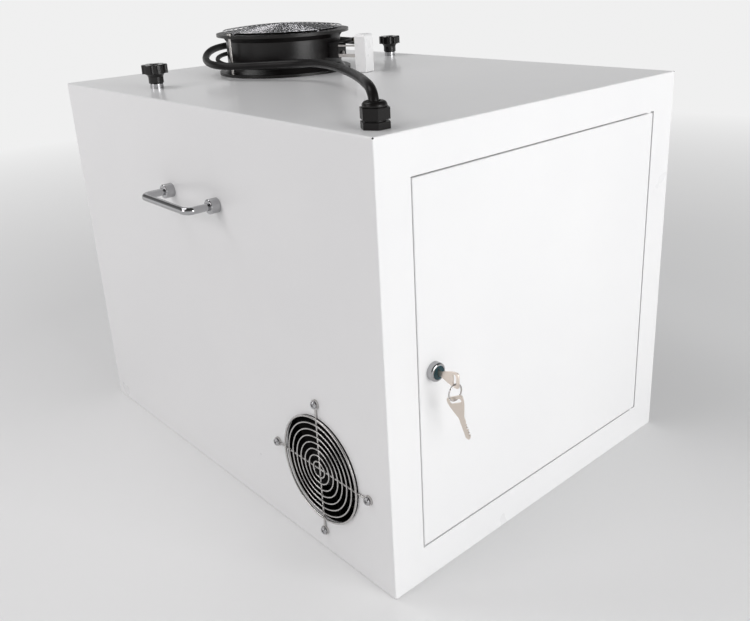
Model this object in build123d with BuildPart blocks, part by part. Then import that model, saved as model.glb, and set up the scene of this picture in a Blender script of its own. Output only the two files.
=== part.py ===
from build123d import *
import math
import os

os.makedirs("parts", exist_ok=True)

# Driving dimensions, in millimetres. The origin is the middle of the cabinet's underside,
# +X is to the right as seen from the door, +Y to the back and +Z up.

# Cabinet
cabinet_width = 450.0
cabinet_depth = 600.0
cabinet_height = 450.0
sheet = 1.5
bend_radius = 2.5
edge_radius = 1.2
border = 39.0
return_depth = 20.5
stop_lip = 10.0
hinge_side_lip = 18.0
rear_flange = 15.0
base_flange = 12.0
panel_screw_inset = 7.5
panel_screws_per_side = 4
panel_screw_length = 6.0
vent_slot_length = 60.0
vent_slot_width = 4.0
vent_slot_pitch = 12.0
vent_slots_per_column = 8
vent_column_spacing = 110.0
vent_height = 330.0

# Door
door_gap = 1.5
door_thickness = 16.0
door_back_sheet = 1.0
pivot_inset = 6.0
pivot_setback = 4.0
hinge_pin_radius = 2.0
hinge_pin_reach = 6.0
hinge_head_radius = 4.0
hinge_head_height = 2.0
hinge_block_width = 8.5
hinge_block_height = 14.0
gasket_width = 6.0
gasket_gap = 0.3
gasket_inset = 1.0

# Lock and keys
lock_inset = 19.0
lock_barrel_radius = 8.0
lock_bezel_radius = 9.3
lock_bezel_height = 6.5
lock_bezel_round = 2.2
lock_nut_across = 22.0
lock_nut_height = 3.0
plug_radius = 6.8
plug_tail = 6.0
cam_reach = 17.0
cam_half_width = 5.5
cam_eye_radius = 7.0
cam_sheet = 2.0
key_thickness = 1.8
key_blade_width = 5.5
key_blade_length = 19.0
key_neck_length = 3.0
key_shoulder_length = 8.0
key_shoulder_width = 13.5
key_bow_length = 22.0
key_bow_width = 16.0
key_corner = 2.5
key_rim = 3.0
key_slot_width = 4.0
key_slot_length = 11.0
spare_key_turn = 30.0
spare_key_lean = 18.0
ring_radius = 8.0
ring_wire_radius = 0.7

# Chamber
liner_sheet = 1.0
liner_side_gap = 38.5
liner_floor_height = 40.0
bay_depth = 62.5
rail_width = 30.0
rail_length = 350.0
rail_inset = 25.0
intake_opening = 100.0
intake_lap = 5.0
intake_hole_radius = 6.0
intake_hole_pitch = 18.0
intake_holes_per_side = 5

# Turntable
turntable_y = -20.0
turntable_radius = 140.0
turntable_thickness = 4.0
turntable_rim = 3.0
turntable_height = 14.0
turntable_hub_radius = 16.0
turntable_shaft_radius = 4.0
turntable_shaft_gap = 1.2
motor_radius = 25.0
motor_height = 30.0
motor_ear_radius = 6.0
motor_shaft_depth = 12.0

# Lamp head, hung on the two star-knob studs
head_x = 7.5
head_inset = 160.0
stud_inset = 37.5
stud_radius = 4.0
stud_length = 46.0
stud_in_knob = 10.0
stud_clip_radius = 6.5
stud_clip_sheet = 1.2
carrier_drop = 8.5
carrier_width = 36.0
carrier_sheet = 2.0
carrier_flange = 10.0
carrier_overhang = 14.0
carrier_boss_radius = 8.0
carrier_boss_height = 8.0
hood_length = 300.0
hood_top_width = 44.0
hood_mouth_width = 110.0
hood_height = 66.0
hood_sheet = 1.5
roof_opening_margin = 9.0
lamp_drop = 46.0
lamp_radius = 10.0
lamp_cap_radius = 11.0
lamp_cap_length = 26.0
lamp_bore_radius = 8.5
holder_width = 26.0
holder_height = 32.0
holder_thickness = 14.0

# Star knobs
knob_head_radius = 15.0
knob_head_height = 10.3
knob_lobes = 6
knob_scallop_radius = 4.7
knob_scallop_centre = 17.1
knob_neck_radius = 8.7
knob_neck_height = 11.2
collar_radius = 7.7
collar_height = 6.0

# Exhaust fan
exhaust_radius = 86.0
exhaust_height = 51.0
exhaust_flange = 3.5
exhaust_waist_radius = 74.5
exhaust_wall = 2.5
exhaust_flare = 6.0
exhaust_shoulder = 79.0
exhaust_boss_radius = 36.0
exhaust_boss_height = 6.0
exhaust_strut_width = 8.0
exhaust_hub_radius = 34.0
exhaust_hub_height = 36.0
exhaust_hub_gap = 1.0
exhaust_blades = 7
exhaust_blade_sheet = 1.5
exhaust_blade_chord = 34.0
exhaust_blade_pitch = 38.0
exhaust_tip_gap = 2.0
exhaust_shaft_radius = 3.0
exhaust_guard_wire = 0.75
exhaust_guard_inner = 9.0
exhaust_guard_pitch = 6.15
exhaust_guard_rings = 12
exhaust_guard_rise = 5.0
exhaust_leg_wire = 1.3
tie_bolt_radius = 1.7
tie_bolt_circle = 81.5
tie_bolt_angle = 180.0
tie_head_radius = 3.0
tie_head_height = 2.4
tie_nut_across = 7.0
tie_nut_height = 3.0

# Running capacitor on the fan's side
capacitor_angle = -71.0
capacitor_distance = 122.0
capacitor_width = 20.0
capacitor_thickness = 15.0
capacitor_height = 46.0
capacitor_foot = 0.5
capacitor_round = 3.5
pad_reach = 90.0
pad_width = 18.0
pad_height = 18.0
bracket_sheet = 1.5
bracket_low = 20.5
bracket_low_height = 4.0
bracket_high = 32.5
bracket_high_height = 2.0
terminal_radius = 3.6
terminal_height = 3.0
terminal_level_low = 12.0
terminal_level_high = 25.5
fixing_screw_radius = 2.6
fixing_screw_height = 2.0
fixing_screw_level = 23.0

# Side fan
side_fan_inset = 106.0
side_fan_z = 99.0
side_fan_size = 120.0
side_fan_depth = 25.0
side_fan_bore = 57.5
side_fan_hole_spacing = 105.0
side_fan_port = 58.5
side_fan_boss_radius = 21.0
side_fan_strut_width = 5.0
side_fan_strut_depth = 4.0
side_fan_hub_radius = 19.5
side_fan_blades = 7
side_fan_blade_sheet = 1.4
side_fan_blade_chord = 27.0
side_fan_blade_pitch = 38.0
side_fan_tip_gap = 1.5
side_fan_shaft_radius = 2.0
guard_wire_radius = 0.8
guard_outer_wire_radius = 1.1
guard_inner_ring = 9.0
guard_ring_pitch = 7.0
guard_rings = 8
guard_spoke_radius = 1.1
guard_eye_radius = 4.0
guard_screw_radius = 2.0
guard_screw_head_radius = 4.0
guard_screw_head_height = 2.6
guard_screw_length = 14.0

# Handles
handle_drop = 100.0
handle_spacing = 96.0
handle_rod_radius = 4.0
handle_standoff = 39.0
handle_bend_radius = 8.0
ferrule_radius = 8.0
ferrule_height = 11.0
handle_screw_radius = 2.5
handle_screw_head_radius = 4.5
handle_screw_head_height = 3.0
handle_screw_length = 12.0

# Cable gland, fan cable and the fan's own lead
gland_side_inset = 28.0
gland_front_inset = 28.0
gland_across = 23.0
gland_hex_height = 6.0
gland_neck_radius = 9.0
gland_neck_height = 2.0
gland_nut_height = 9.5
gland_dome_height = 5.0
gland_dome_radius = 8.0
gland_dome_round = 4.0
gland_shoulder_radius = 10.5
gland_mouth_radius = 6.4
gland_mouth_depth = 6.0
gland_mouth_taper = 14.0
gland_thread_radius = 10.2
gland_thread_length = 11.0
gland_locknut_height = 5.0
cable_radius = 4.5
lead_radius = 2.8
cable_seat = 12.0
cable_rise = 1.0
cable_end_level = 32.0
cable_last_run = 20.0
lead_start_angle = 230.0
lead_boss_reach = 77.5
lead_boss_radius = 4.5
lead_level = 15.0
lead_first_run = 11.0
lead_end_level = 38.0
lead_end_offset = 6.0
lead_last_run = 14.0

# Electrical bay behind the chamber
ballast_length = 210.0
ballast_height = 72.0
ballast_depth = 46.0
ballast_x = -70.0
ballast_z = 150.0
ballast_foot = 12.0
ballast_foot_sheet = 2.0
terminal_block_length = 90.0
terminal_block_height = 28.0
terminal_block_depth = 24.0
terminal_block_x = 110.0
terminal_block_z = 190.0
terminal_block_ways = 6
terminal_well_width = 9.0
terminal_well_height = 8.0
terminal_well_depth = 9.0
inlet_x = 150.0
inlet_z = 60.0
inlet_width = 28.0
inlet_height = 20.0
inlet_depth = 26.0
inlet_flange_width = 50.0
inlet_flange_height = 25.0
inlet_flange_sheet = 3.0
inlet_wall = 2.0
inlet_pin_width = 2.0
inlet_pin_height = 4.0
inlet_pin_spacing = 7.0
switch_x = 150.0
switch_z = 110.0
switch_width = 28.0
switch_height = 22.0
switch_depth = 24.0
switch_rim = 2.0
switch_rim_height = 2.0
switch_wall = 2.0
rocker_tilt = 8.0
rocker_depth = 8.0
rocker_rise = 2.6
rocker_setback = 1.0
rocker_end_gap = 1.0
rocker_well = 9.0
rocker_pin_radius = 1.5
sensor_length = 40.0
sensor_width = 12.0
sensor_height = 13.0
sensor_x = -130.0
sensor_inset = 2.0
magnet_length = 30.0
magnet_width = 10.0
magnet_height = 10.0

# Clearances
running_gap = 0.05
screw_gap = 0.15
small_gap = 0.3
cut_out_gap = 0.25

# Places worked out from the driving dimensions
left_x = -cabinet_width / 2
right_x = cabinet_width / 2
front_y = -cabinet_depth / 2
rear_y = cabinet_depth / 2
top_z = cabinet_height
mid_z = cabinet_height / 2
inner_width = cabinet_width - 2 * sheet
inner_top_z = top_z - sheet
opening_width = cabinet_width - 2 * border
opening_height = cabinet_height - 2 * border
lip_rear_y = front_y + sheet + return_depth
mouth_width = opening_width - stop_lip - hinge_side_lip
mouth_x = (stop_lip - hinge_side_lip) / 2
mouth_height = opening_height - 2 * stop_lip

door_width = opening_width - 2 * door_gap
door_height = opening_height - 2 * door_gap
door_rear_y = front_y + door_thickness
lock_barrel_length = lip_rear_y - front_y + small_gap
pivot_x = door_width / 2 - pivot_inset
pivot_y = front_y + pivot_setback

liner_width = cabinet_width - 2 * sheet - 2 * liner_side_gap
liner_height = cabinet_height - 2 * liner_floor_height
liner_rear_y = rear_y - sheet - bay_depth - liner_sheet
liner_depth = liner_rear_y - lip_rear_y
liner_outer_top_z = mid_z + liner_height / 2 + liner_sheet
liner_outer_floor_z = liner_floor_height - liner_sheet
rail_spread = cabinet_width - 2 * rail_inset

head_y = rear_y - head_inset
stud_spacing = cabinet_width - 2 * stud_inset
side_fan_y = front_y + side_fan_inset
handle_z = top_z - handle_drop
gland_x = left_x + gland_side_inset
gland_y = front_y + gland_front_inset

# Cabinet shell

with BuildPart() as cabinet_wrap:
    with BuildSketch(Plane.XZ.offset(-front_y - sheet)):
        with BuildLine():
            FilletPolyline(
                (left_x, sheet),
                (left_x, top_z),
                (right_x, top_z),
                (right_x, sheet),
                radius=bend_radius,
            )
            FilletPolyline(
                (left_x + sheet, sheet),
                (left_x + sheet, inner_top_z),
                (right_x - sheet, inner_top_z),
                (right_x - sheet, sheet),
                radius=bend_radius - sheet,
            )
            Line((left_x, sheet), (left_x + sheet, sheet))
            Line((right_x - sheet, sheet), (right_x, sheet))
        make_face()
    extrude(amount=-(cabinet_depth - 2 * sheet))
    # The rear flanges that the rear panel screws to
    with BuildSketch(Plane.XZ.offset(-rear_y + 2 * sheet)):
        with Locations((0, (sheet + rear_flange + inner_top_z) / 2)):
            Rectangle(inner_width, inner_top_z - sheet - rear_flange)
        with Locations((0, (sheet + rear_flange + inner_top_z - rear_flange) / 2)):
            Rectangle(
                inner_width - 2 * rear_flange,
                inner_top_z - sheet - 2 * rear_flange,
                mode=Mode.SUBTRACT,
            )
    extrude(amount=-sheet)
    # Ports for the side fan, its screws and the handle screws
    with BuildSketch(Plane.YZ.offset(left_x)):
        with Locations((side_fan_y, side_fan_z)):
            Circle(side_fan_port)
            with PolarLocations(side_fan_hole_spacing / math.sqrt(2), 4):
                Circle(guard_screw_radius + screw_gap)
        with Locations((0, handle_z)):
            with GridLocations(handle_spacing, 0, 2, 1):
                Circle(handle_screw_radius + screw_gap)
    extrude(amount=sheet, mode=Mode.SUBTRACT)
    with BuildSketch(Plane.YZ.offset(right_x - sheet)):
        with Locations((0, handle_z)):
            with GridLocations(handle_spacing, 0, 2, 1):
                Circle(handle_screw_radius + screw_gap)
    extrude(amount=sheet, mode=Mode.SUBTRACT)
    # Ports in the top for the exhaust fan, its tie bolts, the studs and the gland
    with BuildSketch(Plane.XY.offset(inner_top_z)):
        with Locations((head_x, head_y)):
            Circle(exhaust_waist_radius - exhaust_wall)
            with PolarLocations(tie_bolt_circle, 2, start_angle=tie_bolt_angle):
                Circle(tie_bolt_radius + screw_gap)
            with GridLocations(stud_spacing, 0, 2, 1):
                Circle(stud_radius + screw_gap)
        with Locations((gland_x, gland_y)):
            Circle(gland_thread_radius + screw_gap)
    extrude(amount=sheet, mode=Mode.SUBTRACT)
    # Screw holes in the rear flanges
    with BuildSketch(Plane.XZ.offset(-rear_y + 2 * sheet)):
        with Locations((0, inner_top_z - panel_screw_inset)):
            with GridLocations(inner_width / panel_screws_per_side, 0, panel_screws_per_side, 1):
                Circle(guard_screw_radius)
        with Locations((0, mid_z)):
            with GridLocations(
                inner_width - 2 * panel_screw_inset,
                inner_width / panel_screws_per_side,
                2,
                panel_screws_per_side - 1,
            ):
                Circle(guard_screw_radius)
    extrude(amount=-sheet, mode=Mode.SUBTRACT)
cabinet_wrap.part.label = "cabinet_wrap"
export_step(cabinet_wrap.part, "parts/cabinet_wrap.step")

with BuildPart() as front_frame:
    with BuildSketch(Plane.XZ.offset(-front_y)):
        with Locations((0, mid_z)):
            RectangleRounded(cabinet_width, cabinet_height, bend_radius)
    extrude(amount=-sheet)
    fillet(front_frame.faces().sort_by(Axis.Y)[0].edges(), edge_radius)
    with BuildSketch(Plane.XZ.offset(-front_y - sheet)):
        with Locations((0, mid_z)):
            Rectangle(opening_width + 2 * sheet, opening_height + 2 * sheet)
    extrude(amount=-return_depth)
    with BuildSketch(Plane.XZ.offset(-front_y)):
        with Locations((0, mid_z)):
            Rectangle(opening_width, opening_height)
    extrude(amount=-return_depth, mode=Mode.SUBTRACT)
    with BuildSketch(Plane.XZ.offset(-front_y - return_depth)):
        with Locations((mouth_x, mid_z)):
            Rectangle(mouth_width, mouth_height)
    extrude(amount=-sheet, mode=Mode.SUBTRACT)
    # Pin holes of the concealed hinge, in the top and bottom returns
    with BuildSketch(Plane.XY):
        with Locations((pivot_x, pivot_y)):
            Circle(hinge_pin_radius)
    extrude(until=Until.LAST, mode=Mode.SUBTRACT)
front_frame.part.label = "front_frame"
export_step(front_frame.part, "parts/front_frame.step")

with BuildPart() as base_panel:
    with BuildSketch(Plane.XY):
        Rectangle(cabinet_width, cabinet_depth - 2 * sheet)
    extrude(amount=sheet)
    fillet(base_panel.faces().sort_by(Axis.Z)[0].edges().filter_by(Axis.Y), edge_radius)
    with BuildSketch(Plane.XY.offset(sheet)):
        with GridLocations(inner_width - sheet, 0, 2, 1):
            Rectangle(sheet, cabinet_depth - 4 * sheet)
    extrude(amount=base_flange)
    with BuildSketch(Plane.XY.offset(sheet)):
        with Locations((0, rear_y - 1.5 * sheet)):
            Rectangle(inner_width, sheet)
    extrude(amount=rear_flange)
    with BuildSketch(Plane.XZ.offset(-rear_y + 2 * sheet)):
        with Locations((0, sheet + panel_screw_inset)):
            with GridLocations(inner_width / panel_screws_per_side, 0, panel_screws_per_side, 1):
                Circle(guard_screw_radius)
    extrude(amount=-sheet, mode=Mode.SUBTRACT)
base_panel.part.label = "base_panel"
export_step(base_panel.part, "parts/base_panel.step")

with BuildPart() as rear_panel:
    with BuildSketch(Plane.XZ.offset(-rear_y)):
        with Locations((0, mid_z)):
            RectangleRounded(cabinet_width, cabinet_height, bend_radius)
    extrude(amount=sheet)
    fillet(rear_panel.faces().sort_by(Axis.Y)[-1].edges(), edge_radius)
    with BuildSketch(Plane.XZ.offset(-rear_y)):
        with GridLocations(inner_width / panel_screws_per_side, 0, panel_screws_per_side, 1):
            with Locations((0, inner_top_z - panel_screw_inset), (0, sheet + panel_screw_inset)):
                Circle(guard_screw_radius + screw_gap)
        with Locations((0, mid_z)):
            with GridLocations(
                inner_width - 2 * panel_screw_inset,
                inner_width / panel_screws_per_side,
                2,
                panel_screws_per_side - 1,
            ):
                Circle(guard_screw_radius + screw_gap)
        with Locations((0, vent_height)):
            with GridLocations(vent_column_spacing, vent_slot_pitch, 2, vent_slots_per_column):
                SlotOverall(vent_slot_length, vent_slot_width)
        with Locations((inlet_x, inlet_z)):
            Rectangle(inlet_width + 2 * cut_out_gap, inlet_height + 2 * cut_out_gap)
        with Locations((switch_x, switch_z)):
            Rectangle(switch_width + 2 * cut_out_gap, switch_height + 2 * cut_out_gap)
    extrude(amount=sheet, mode=Mode.SUBTRACT)
rear_panel.part.label = "rear_panel"
export_step(rear_panel.part, "parts/rear_panel.step")

with BuildPart() as rear_panel_screws:
    with BuildSketch(Plane.XZ.offset(-rear_y)):
        with GridLocations(inner_width / panel_screws_per_side, 0, panel_screws_per_side, 1):
            with Locations((0, inner_top_z - panel_screw_inset), (0, sheet + panel_screw_inset)):
                Circle(guard_screw_head_radius)
        with Locations((0, mid_z)):
            with GridLocations(
                inner_width - 2 * panel_screw_inset,
                inner_width / panel_screws_per_side,
                2,
                panel_screws_per_side - 1,
            ):
                Circle(guard_screw_head_radius)
    extrude(amount=-guard_screw_head_height)
    fillet(rear_panel_screws.edges().group_by(Axis.Y)[-1], edge_radius)
    with BuildSketch(Plane.XZ.offset(-rear_y)):
        with GridLocations(inner_width / panel_screws_per_side, 0, panel_screws_per_side, 1):
            with Locations((0, inner_top_z - panel_screw_inset), (0, sheet + panel_screw_inset)):
                Circle(guard_screw_radius)
        with Locations((0, mid_z)):
            with GridLocations(
                inner_width - 2 * panel_screw_inset,
                inner_width / panel_screws_per_side,
                2,
                panel_screws_per_side - 1,
            ):
                Circle(guard_screw_radius)
    extrude(amount=panel_screw_length)
rear_panel_screws.part.label = "rear_panel_screws"
export_step(rear_panel_screws.part, "parts/rear_panel_screws.step")

# Chamber liner, its back wall and the two rails that carry it

hood_opening_length = hood_length + 2 * roof_opening_margin
hood_opening_width = hood_mouth_width + 2 * roof_opening_margin

with BuildPart() as chamber_liner:
    with BuildSketch(Plane.XZ.offset(-lip_rear_y)):
        with Locations((0, mid_z)):
            Rectangle(liner_width + 2 * liner_sheet, liner_height + 2 * liner_sheet)
            Rectangle(liner_width, liner_height, mode=Mode.SUBTRACT)
    extrude(amount=-liner_depth)
    with BuildSketch(Plane.XY.offset(liner_outer_top_z)):
        with Locations((head_x, head_y)):
            Rectangle(hood_opening_length, hood_opening_width)
    extrude(amount=-liner_sheet, mode=Mode.SUBTRACT)
    with BuildSketch(Plane.XY.offset(liner_outer_floor_z)):
        with Locations((0, turntable_y)):
            Circle(turntable_shaft_radius + turntable_shaft_gap)
    extrude(amount=liner_sheet, mode=Mode.SUBTRACT)
    with BuildSketch(Plane.YZ.offset(-liner_width / 2)):
        with Locations((side_fan_y, side_fan_z)):
            Rectangle(intake_opening, intake_opening)
    extrude(amount=-liner_sheet, mode=Mode.SUBTRACT)
chamber_liner.part.label = "chamber_liner"
export_step(chamber_liner.part, "parts/chamber_liner.step")

with BuildPart() as liner_back:
    with BuildSketch(Plane.XZ.offset(-liner_rear_y)):
        with Locations((0, mid_z)):
            Rectangle(liner_width + 2 * liner_sheet, liner_height + 2 * liner_sheet)
    extrude(amount=-liner_sheet)
liner_back.part.label = "liner_back"
export_step(liner_back.part, "parts/liner_back.step")

with BuildPart() as liner_rails:
    with BuildSketch(Plane.YZ.offset(-rail_length / 2)):
        with Locations((0, (sheet + liner_outer_floor_z) / 2)):
            with GridLocations(rail_spread, 0, 2, 1):
                Rectangle(rail_width, liner_outer_floor_z - sheet)
        with Locations((0, (liner_outer_floor_z) / 2)):
            with GridLocations(rail_spread, 0, 2, 1):
                Rectangle(rail_width - 2 * sheet, liner_outer_floor_z - 2 * sheet, mode=Mode.SUBTRACT)
    extrude(amount=rail_length)
liner_rails.part.label = "liner_rails"
export_step(liner_rails.part, "parts/liner_rails.step")

with BuildPart() as intake_grille:
    with BuildSketch(Plane.YZ.offset(-liner_width / 2)):
        with Locations((side_fan_y, side_fan_z)):
            Rectangle(intake_opening + 2 * intake_lap, intake_opening + 2 * intake_lap)
            with GridLocations(
                intake_hole_pitch,
                intake_hole_pitch,
                intake_holes_per_side,
                intake_holes_per_side,
            ):
                Circle(intake_hole_radius, mode=Mode.SUBTRACT)
    extrude(amount=liner_sheet)
intake_grille.part.label = "intake_grille"
export_step(intake_grille.part, "parts/intake_grille.step")

# Door: a folded pan closed by a bright back panel, on concealed pins at its right edge

with BuildPart() as door_skin:
    with BuildSketch(Plane.XZ.offset(-front_y)):
        with Locations((0, mid_z)):
            Rectangle(door_width, door_height)
    extrude(amount=-door_thickness)
    fillet(door_skin.faces().sort_by(Axis.Y)[0].edges(), edge_radius)
    with BuildSketch(Plane.XZ.offset(-front_y - sheet)):
        with Locations((0, mid_z)):
            Rectangle(door_width - 2 * sheet, door_height - 2 * sheet)
    extrude(amount=-door_thickness, mode=Mode.SUBTRACT)
    with BuildSketch(Plane.XZ.offset(-front_y)):
        with Locations((-door_width / 2 + lock_inset, mid_z)):
            Circle(lock_barrel_radius + screw_gap)
    extrude(amount=-sheet, mode=Mode.SUBTRACT)
    with BuildSketch(Plane.XY):
        with Locations((pivot_x, pivot_y)):
            Circle(hinge_pin_radius + running_gap)
    extrude(until=Until.LAST, mode=Mode.SUBTRACT)
door_skin.part.label = "door_skin"
export_step(door_skin.part, "parts/door_skin.step")

lock_x = -door_width / 2 + lock_inset

with BuildPart() as door_back_panel:
    with BuildSketch(Plane.XZ.offset(-door_rear_y)):
        with Locations((0, mid_z)):
            Rectangle(door_width - 2 * sheet, door_height - 2 * sheet)
        with Locations((lock_x, mid_z)):
            Circle(lock_barrel_radius + screw_gap, mode=Mode.SUBTRACT)
    extrude(amount=door_back_sheet)
door_back_panel.part.label = "door_back_panel"
export_step(door_back_panel.part, "parts/door_back_panel.step")

gasket_left = -opening_width / 2 + door_gap + gasket_inset
gasket_right = pivot_x - gasket_inset
gasket_mid_x = (gasket_left + gasket_right) / 2
gasket_span = gasket_right - gasket_left
gasket_height = door_height - 2 * gasket_inset
gasket_thickness = lip_rear_y - sheet - gasket_gap - door_rear_y

with BuildPart() as door_gasket:
    with BuildSketch(Plane.XZ.offset(-door_rear_y)):
        with Locations((gasket_mid_x, mid_z)):
            RectangleRounded(gasket_span, gasket_height, gasket_width)
            Rectangle(
                gasket_span - 2 * gasket_width,
                gasket_height - 2 * gasket_width,
                mode=Mode.SUBTRACT,
            )
    extrude(amount=-gasket_thickness)
door_gasket.part.label = "door_gasket"
export_step(door_gasket.part, "parts/door_gasket.step")

hinge_inner_half = door_height / 2 - sheet

with BuildPart() as hinge_blocks:
    for side in (-1, 1):
        block_mid_z = mid_z + side * (hinge_inner_half - hinge_block_height / 2)
        with BuildSketch(Plane.XY.offset(block_mid_z)):
            with Locations((pivot_x, front_y + door_thickness / 2 + sheet / 2 - door_back_sheet / 2)):
                Rectangle(hinge_block_width, door_thickness - sheet - door_back_sheet)
            with Locations((pivot_x, pivot_y)):
                Circle(hinge_pin_radius + running_gap, mode=Mode.SUBTRACT)
        extrude(amount=hinge_block_height / 2, both=True)
hinge_blocks.part.label = "hinge_blocks"
export_step(hinge_blocks.part, "parts/hinge_blocks.step")

with BuildPart() as hinge_washers:
    for side in (-1, 1):
        washer_z = mid_z + side * (door_height / 2 + door_gap / 2)
        with BuildSketch(Plane.XY.offset(washer_z)):
            with Locations((pivot_x, pivot_y)):
                Circle(pivot_setback - running_gap)
                Circle(hinge_pin_radius + running_gap, mode=Mode.SUBTRACT)
        extrude(amount=door_gap / 2 - running_gap, both=True)
hinge_washers.part.label = "hinge_washers"
export_step(hinge_washers.part, "parts/hinge_washers.step")

with BuildPart() as hinge_pins:
    for side in (-1, 1):
        head_z = mid_z + side * (opening_height / 2 + sheet)
        with BuildSketch(Plane.XY.offset(head_z)):
            with Locations((pivot_x, pivot_y + hinge_head_radius - pivot_setback + sheet)):
                Circle(hinge_head_radius)
        extrude(amount=side * hinge_head_height)
        with BuildSketch(Plane.XY.offset(head_z + side * hinge_head_height)):
            with Locations((pivot_x, pivot_y)):
                Circle(hinge_pin_radius)
        extrude(amount=-side * (hinge_head_height + 2 * sheet + door_gap + hinge_pin_reach))
hinge_pins.part.label = "hinge_pins"
export_step(hinge_pins.part, "parts/hinge_pins.step")

# Cam lock, with its key in it

lock_plane = Plane(origin=(lock_x, front_y, mid_z), x_dir=(1, 0, 0), z_dir=(0, -1, 0))
blade_slot_width = key_thickness + 2 * running_gap
blade_slot_height = key_blade_width + 2 * running_gap

with BuildPart() as lock_body:
    with BuildSketch(lock_plane):
        Circle(lock_bezel_radius)
    extrude(amount=lock_bezel_height)
    fillet(lock_body.faces().sort_by(Axis.Y)[0].edges(), lock_bezel_round)
    with BuildSketch(lock_plane):
        Circle(lock_barrel_radius)
    extrude(amount=-lock_barrel_length)
    with BuildSketch(lock_plane.offset(lock_bezel_height)):
        Circle(plug_radius + running_gap)
    extrude(amount=-lock_bezel_height - lock_barrel_length, mode=Mode.SUBTRACT)
lock_body.part.label = "lock_body"
export_step(lock_body.part, "parts/lock_body.step")

with BuildPart() as lock_nut:
    with BuildSketch(lock_plane.offset(-sheet)):
        RegularPolygon(lock_nut_across / 2, 6, major_radius=False)
        Circle(lock_barrel_radius, mode=Mode.SUBTRACT)
    extrude(amount=-lock_nut_height)
lock_nut.part.label = "lock_nut"
export_step(lock_nut.part, "parts/lock_nut.step")

with BuildPart() as lock_plug:
    with BuildSketch(lock_plane.offset(lock_bezel_height - small_gap)):
        Circle(plug_radius)
    extrude(amount=-(lock_bezel_height - small_gap + lock_barrel_length + running_gap))
    with BuildSketch(lock_plane.offset(lock_bezel_height)):
        Rectangle(blade_slot_width, blade_slot_height)
    extrude(amount=-(lock_bezel_height + key_blade_length), mode=Mode.SUBTRACT)
    with BuildSketch(lock_plane.offset(-lock_barrel_length - running_gap)):
        Rectangle(plug_tail, plug_tail)
    extrude(amount=-cam_sheet)
lock_plug.part.label = "lock_plug"
export_step(lock_plug.part, "parts/lock_plug.step")

with BuildPart() as lock_cam:
    with BuildSketch(lock_plane.offset(-lock_barrel_length - running_gap)):
        with Locations((0, -cam_reach / 2)):
            Rectangle(2 * cam_half_width, cam_reach)
        Circle(cam_eye_radius)
        Rectangle(plug_tail, plug_tail, mode=Mode.SUBTRACT)
    extrude(amount=-cam_sheet)
lock_cam.part.label = "lock_cam"
export_step(lock_cam.part, "parts/lock_cam.step")


def key_blank(end_plane, blade_length):
    """A flat key, from the far end of its bow along the plane's x direction to the blade's tip."""
    shoulder = key_bow_length - key_shoulder_length
    with BuildPart() as blank:
        with BuildSketch(end_plane) as outline:
            with BuildLine():
                Polyline(
                    (0, -key_bow_width / 2),
                    (shoulder, -key_shoulder_width / 2),
                    (key_bow_length, -key_blade_width / 2),
                    (key_bow_length, key_blade_width / 2),
                    (shoulder, key_shoulder_width / 2),
                    (0, key_bow_width / 2),
                    close=True,
                )
            make_face()
            fillet(outline.vertices().sort_by(Axis(end_plane.origin, end_plane.x_dir))[:4], key_corner)
            with Locations(((key_bow_length + blade_length) / 2 + key_bow_length / 2 - key_corner, 0)):
                Rectangle(blade_length + 2 * key_corner, key_blade_width)
            with Locations((key_rim + key_slot_width / 2, 0)):
                SlotOverall(key_slot_length, key_slot_width, rotation=90, mode=Mode.SUBTRACT)
        extrude(amount=key_thickness / 2, both=True)
    return blank


key_end_y = front_y - lock_bezel_height - key_neck_length - key_bow_length
key_end = Plane(origin=(lock_x, key_end_y, mid_z), x_dir=(0, 1, 0), z_dir=(1, 0, 0))

key = key_blank(key_end, key_neck_length + lock_bezel_height + key_blade_length - running_gap)
key.part.label = "key"
export_step(key.part, "parts/key.step")

# The ring hangs in the lower end of the key's slot, in a plane parallel to the door
ring_y = key_end_y + key_rim + key_slot_width / 2
ring_top_z = mid_z - key_slot_length / 2 + ring_wire_radius + small_gap
ring_z = ring_top_z - ring_radius

with BuildPart() as key_ring:
    with BuildSketch(Plane(origin=(lock_x, ring_y, ring_z), x_dir=(1, 0, 0), z_dir=(0, 0, 1))):
        with Locations((ring_radius, 0)):
            Circle(ring_wire_radius)
    revolve(axis=Axis((lock_x, ring_y, ring_z), (0, 1, 0)))
key_ring.part.label = "key_ring"
export_step(key_ring.part, "parts/key_ring.step")

# The spare key hangs on the ring's lowest point, turned a little and leaning to one side
turn = math.radians(spare_key_turn)
lean = math.radians(spare_key_lean)
spare_across = Vector(math.sin(turn), -math.cos(turn), 0)
spare_normal = Vector(-math.cos(turn), -math.sin(turn), 0)
spare_along = Vector(0, 0, -1) * math.cos(lean) + spare_across * math.sin(lean)
ring_bottom = Vector(lock_x, ring_y, ring_z - ring_radius)
spare_end_point = ring_bottom - spare_along * (key_rim + ring_wire_radius + small_gap)
spare_end = Plane(origin=spare_end_point, x_dir=spare_along, z_dir=spare_normal)

spare_key = key_blank(spare_end, key_blade_length)
spare_key.part.label = "spare_key"
export_step(spare_key.part, "parts/spare_key.step")

# Side fan: guard, four screws, frame and rotor, on one axis through the left side


def blade_root(hub_plane, angle):
    """A plane that faces out from a hub's axis, with its x direction along the hub's rim."""
    blade_turn = math.radians(angle)
    outward = hub_plane.x_dir * math.cos(blade_turn) + hub_plane.y_dir * math.sin(blade_turn)
    along = hub_plane.y_dir * math.cos(blade_turn) - hub_plane.x_dir * math.sin(blade_turn)
    return Plane(origin=hub_plane.origin, x_dir=along, z_dir=outward)


port_plane = Plane(origin=(left_x, side_fan_y, side_fan_z), x_dir=(0, 1, 0), z_dir=(1, 0, 0))
fan_plane = port_plane.offset(sheet)
guard_plane = port_plane.offset(-guard_spoke_radius)
screw_circle = side_fan_hole_spacing / math.sqrt(2)

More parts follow.
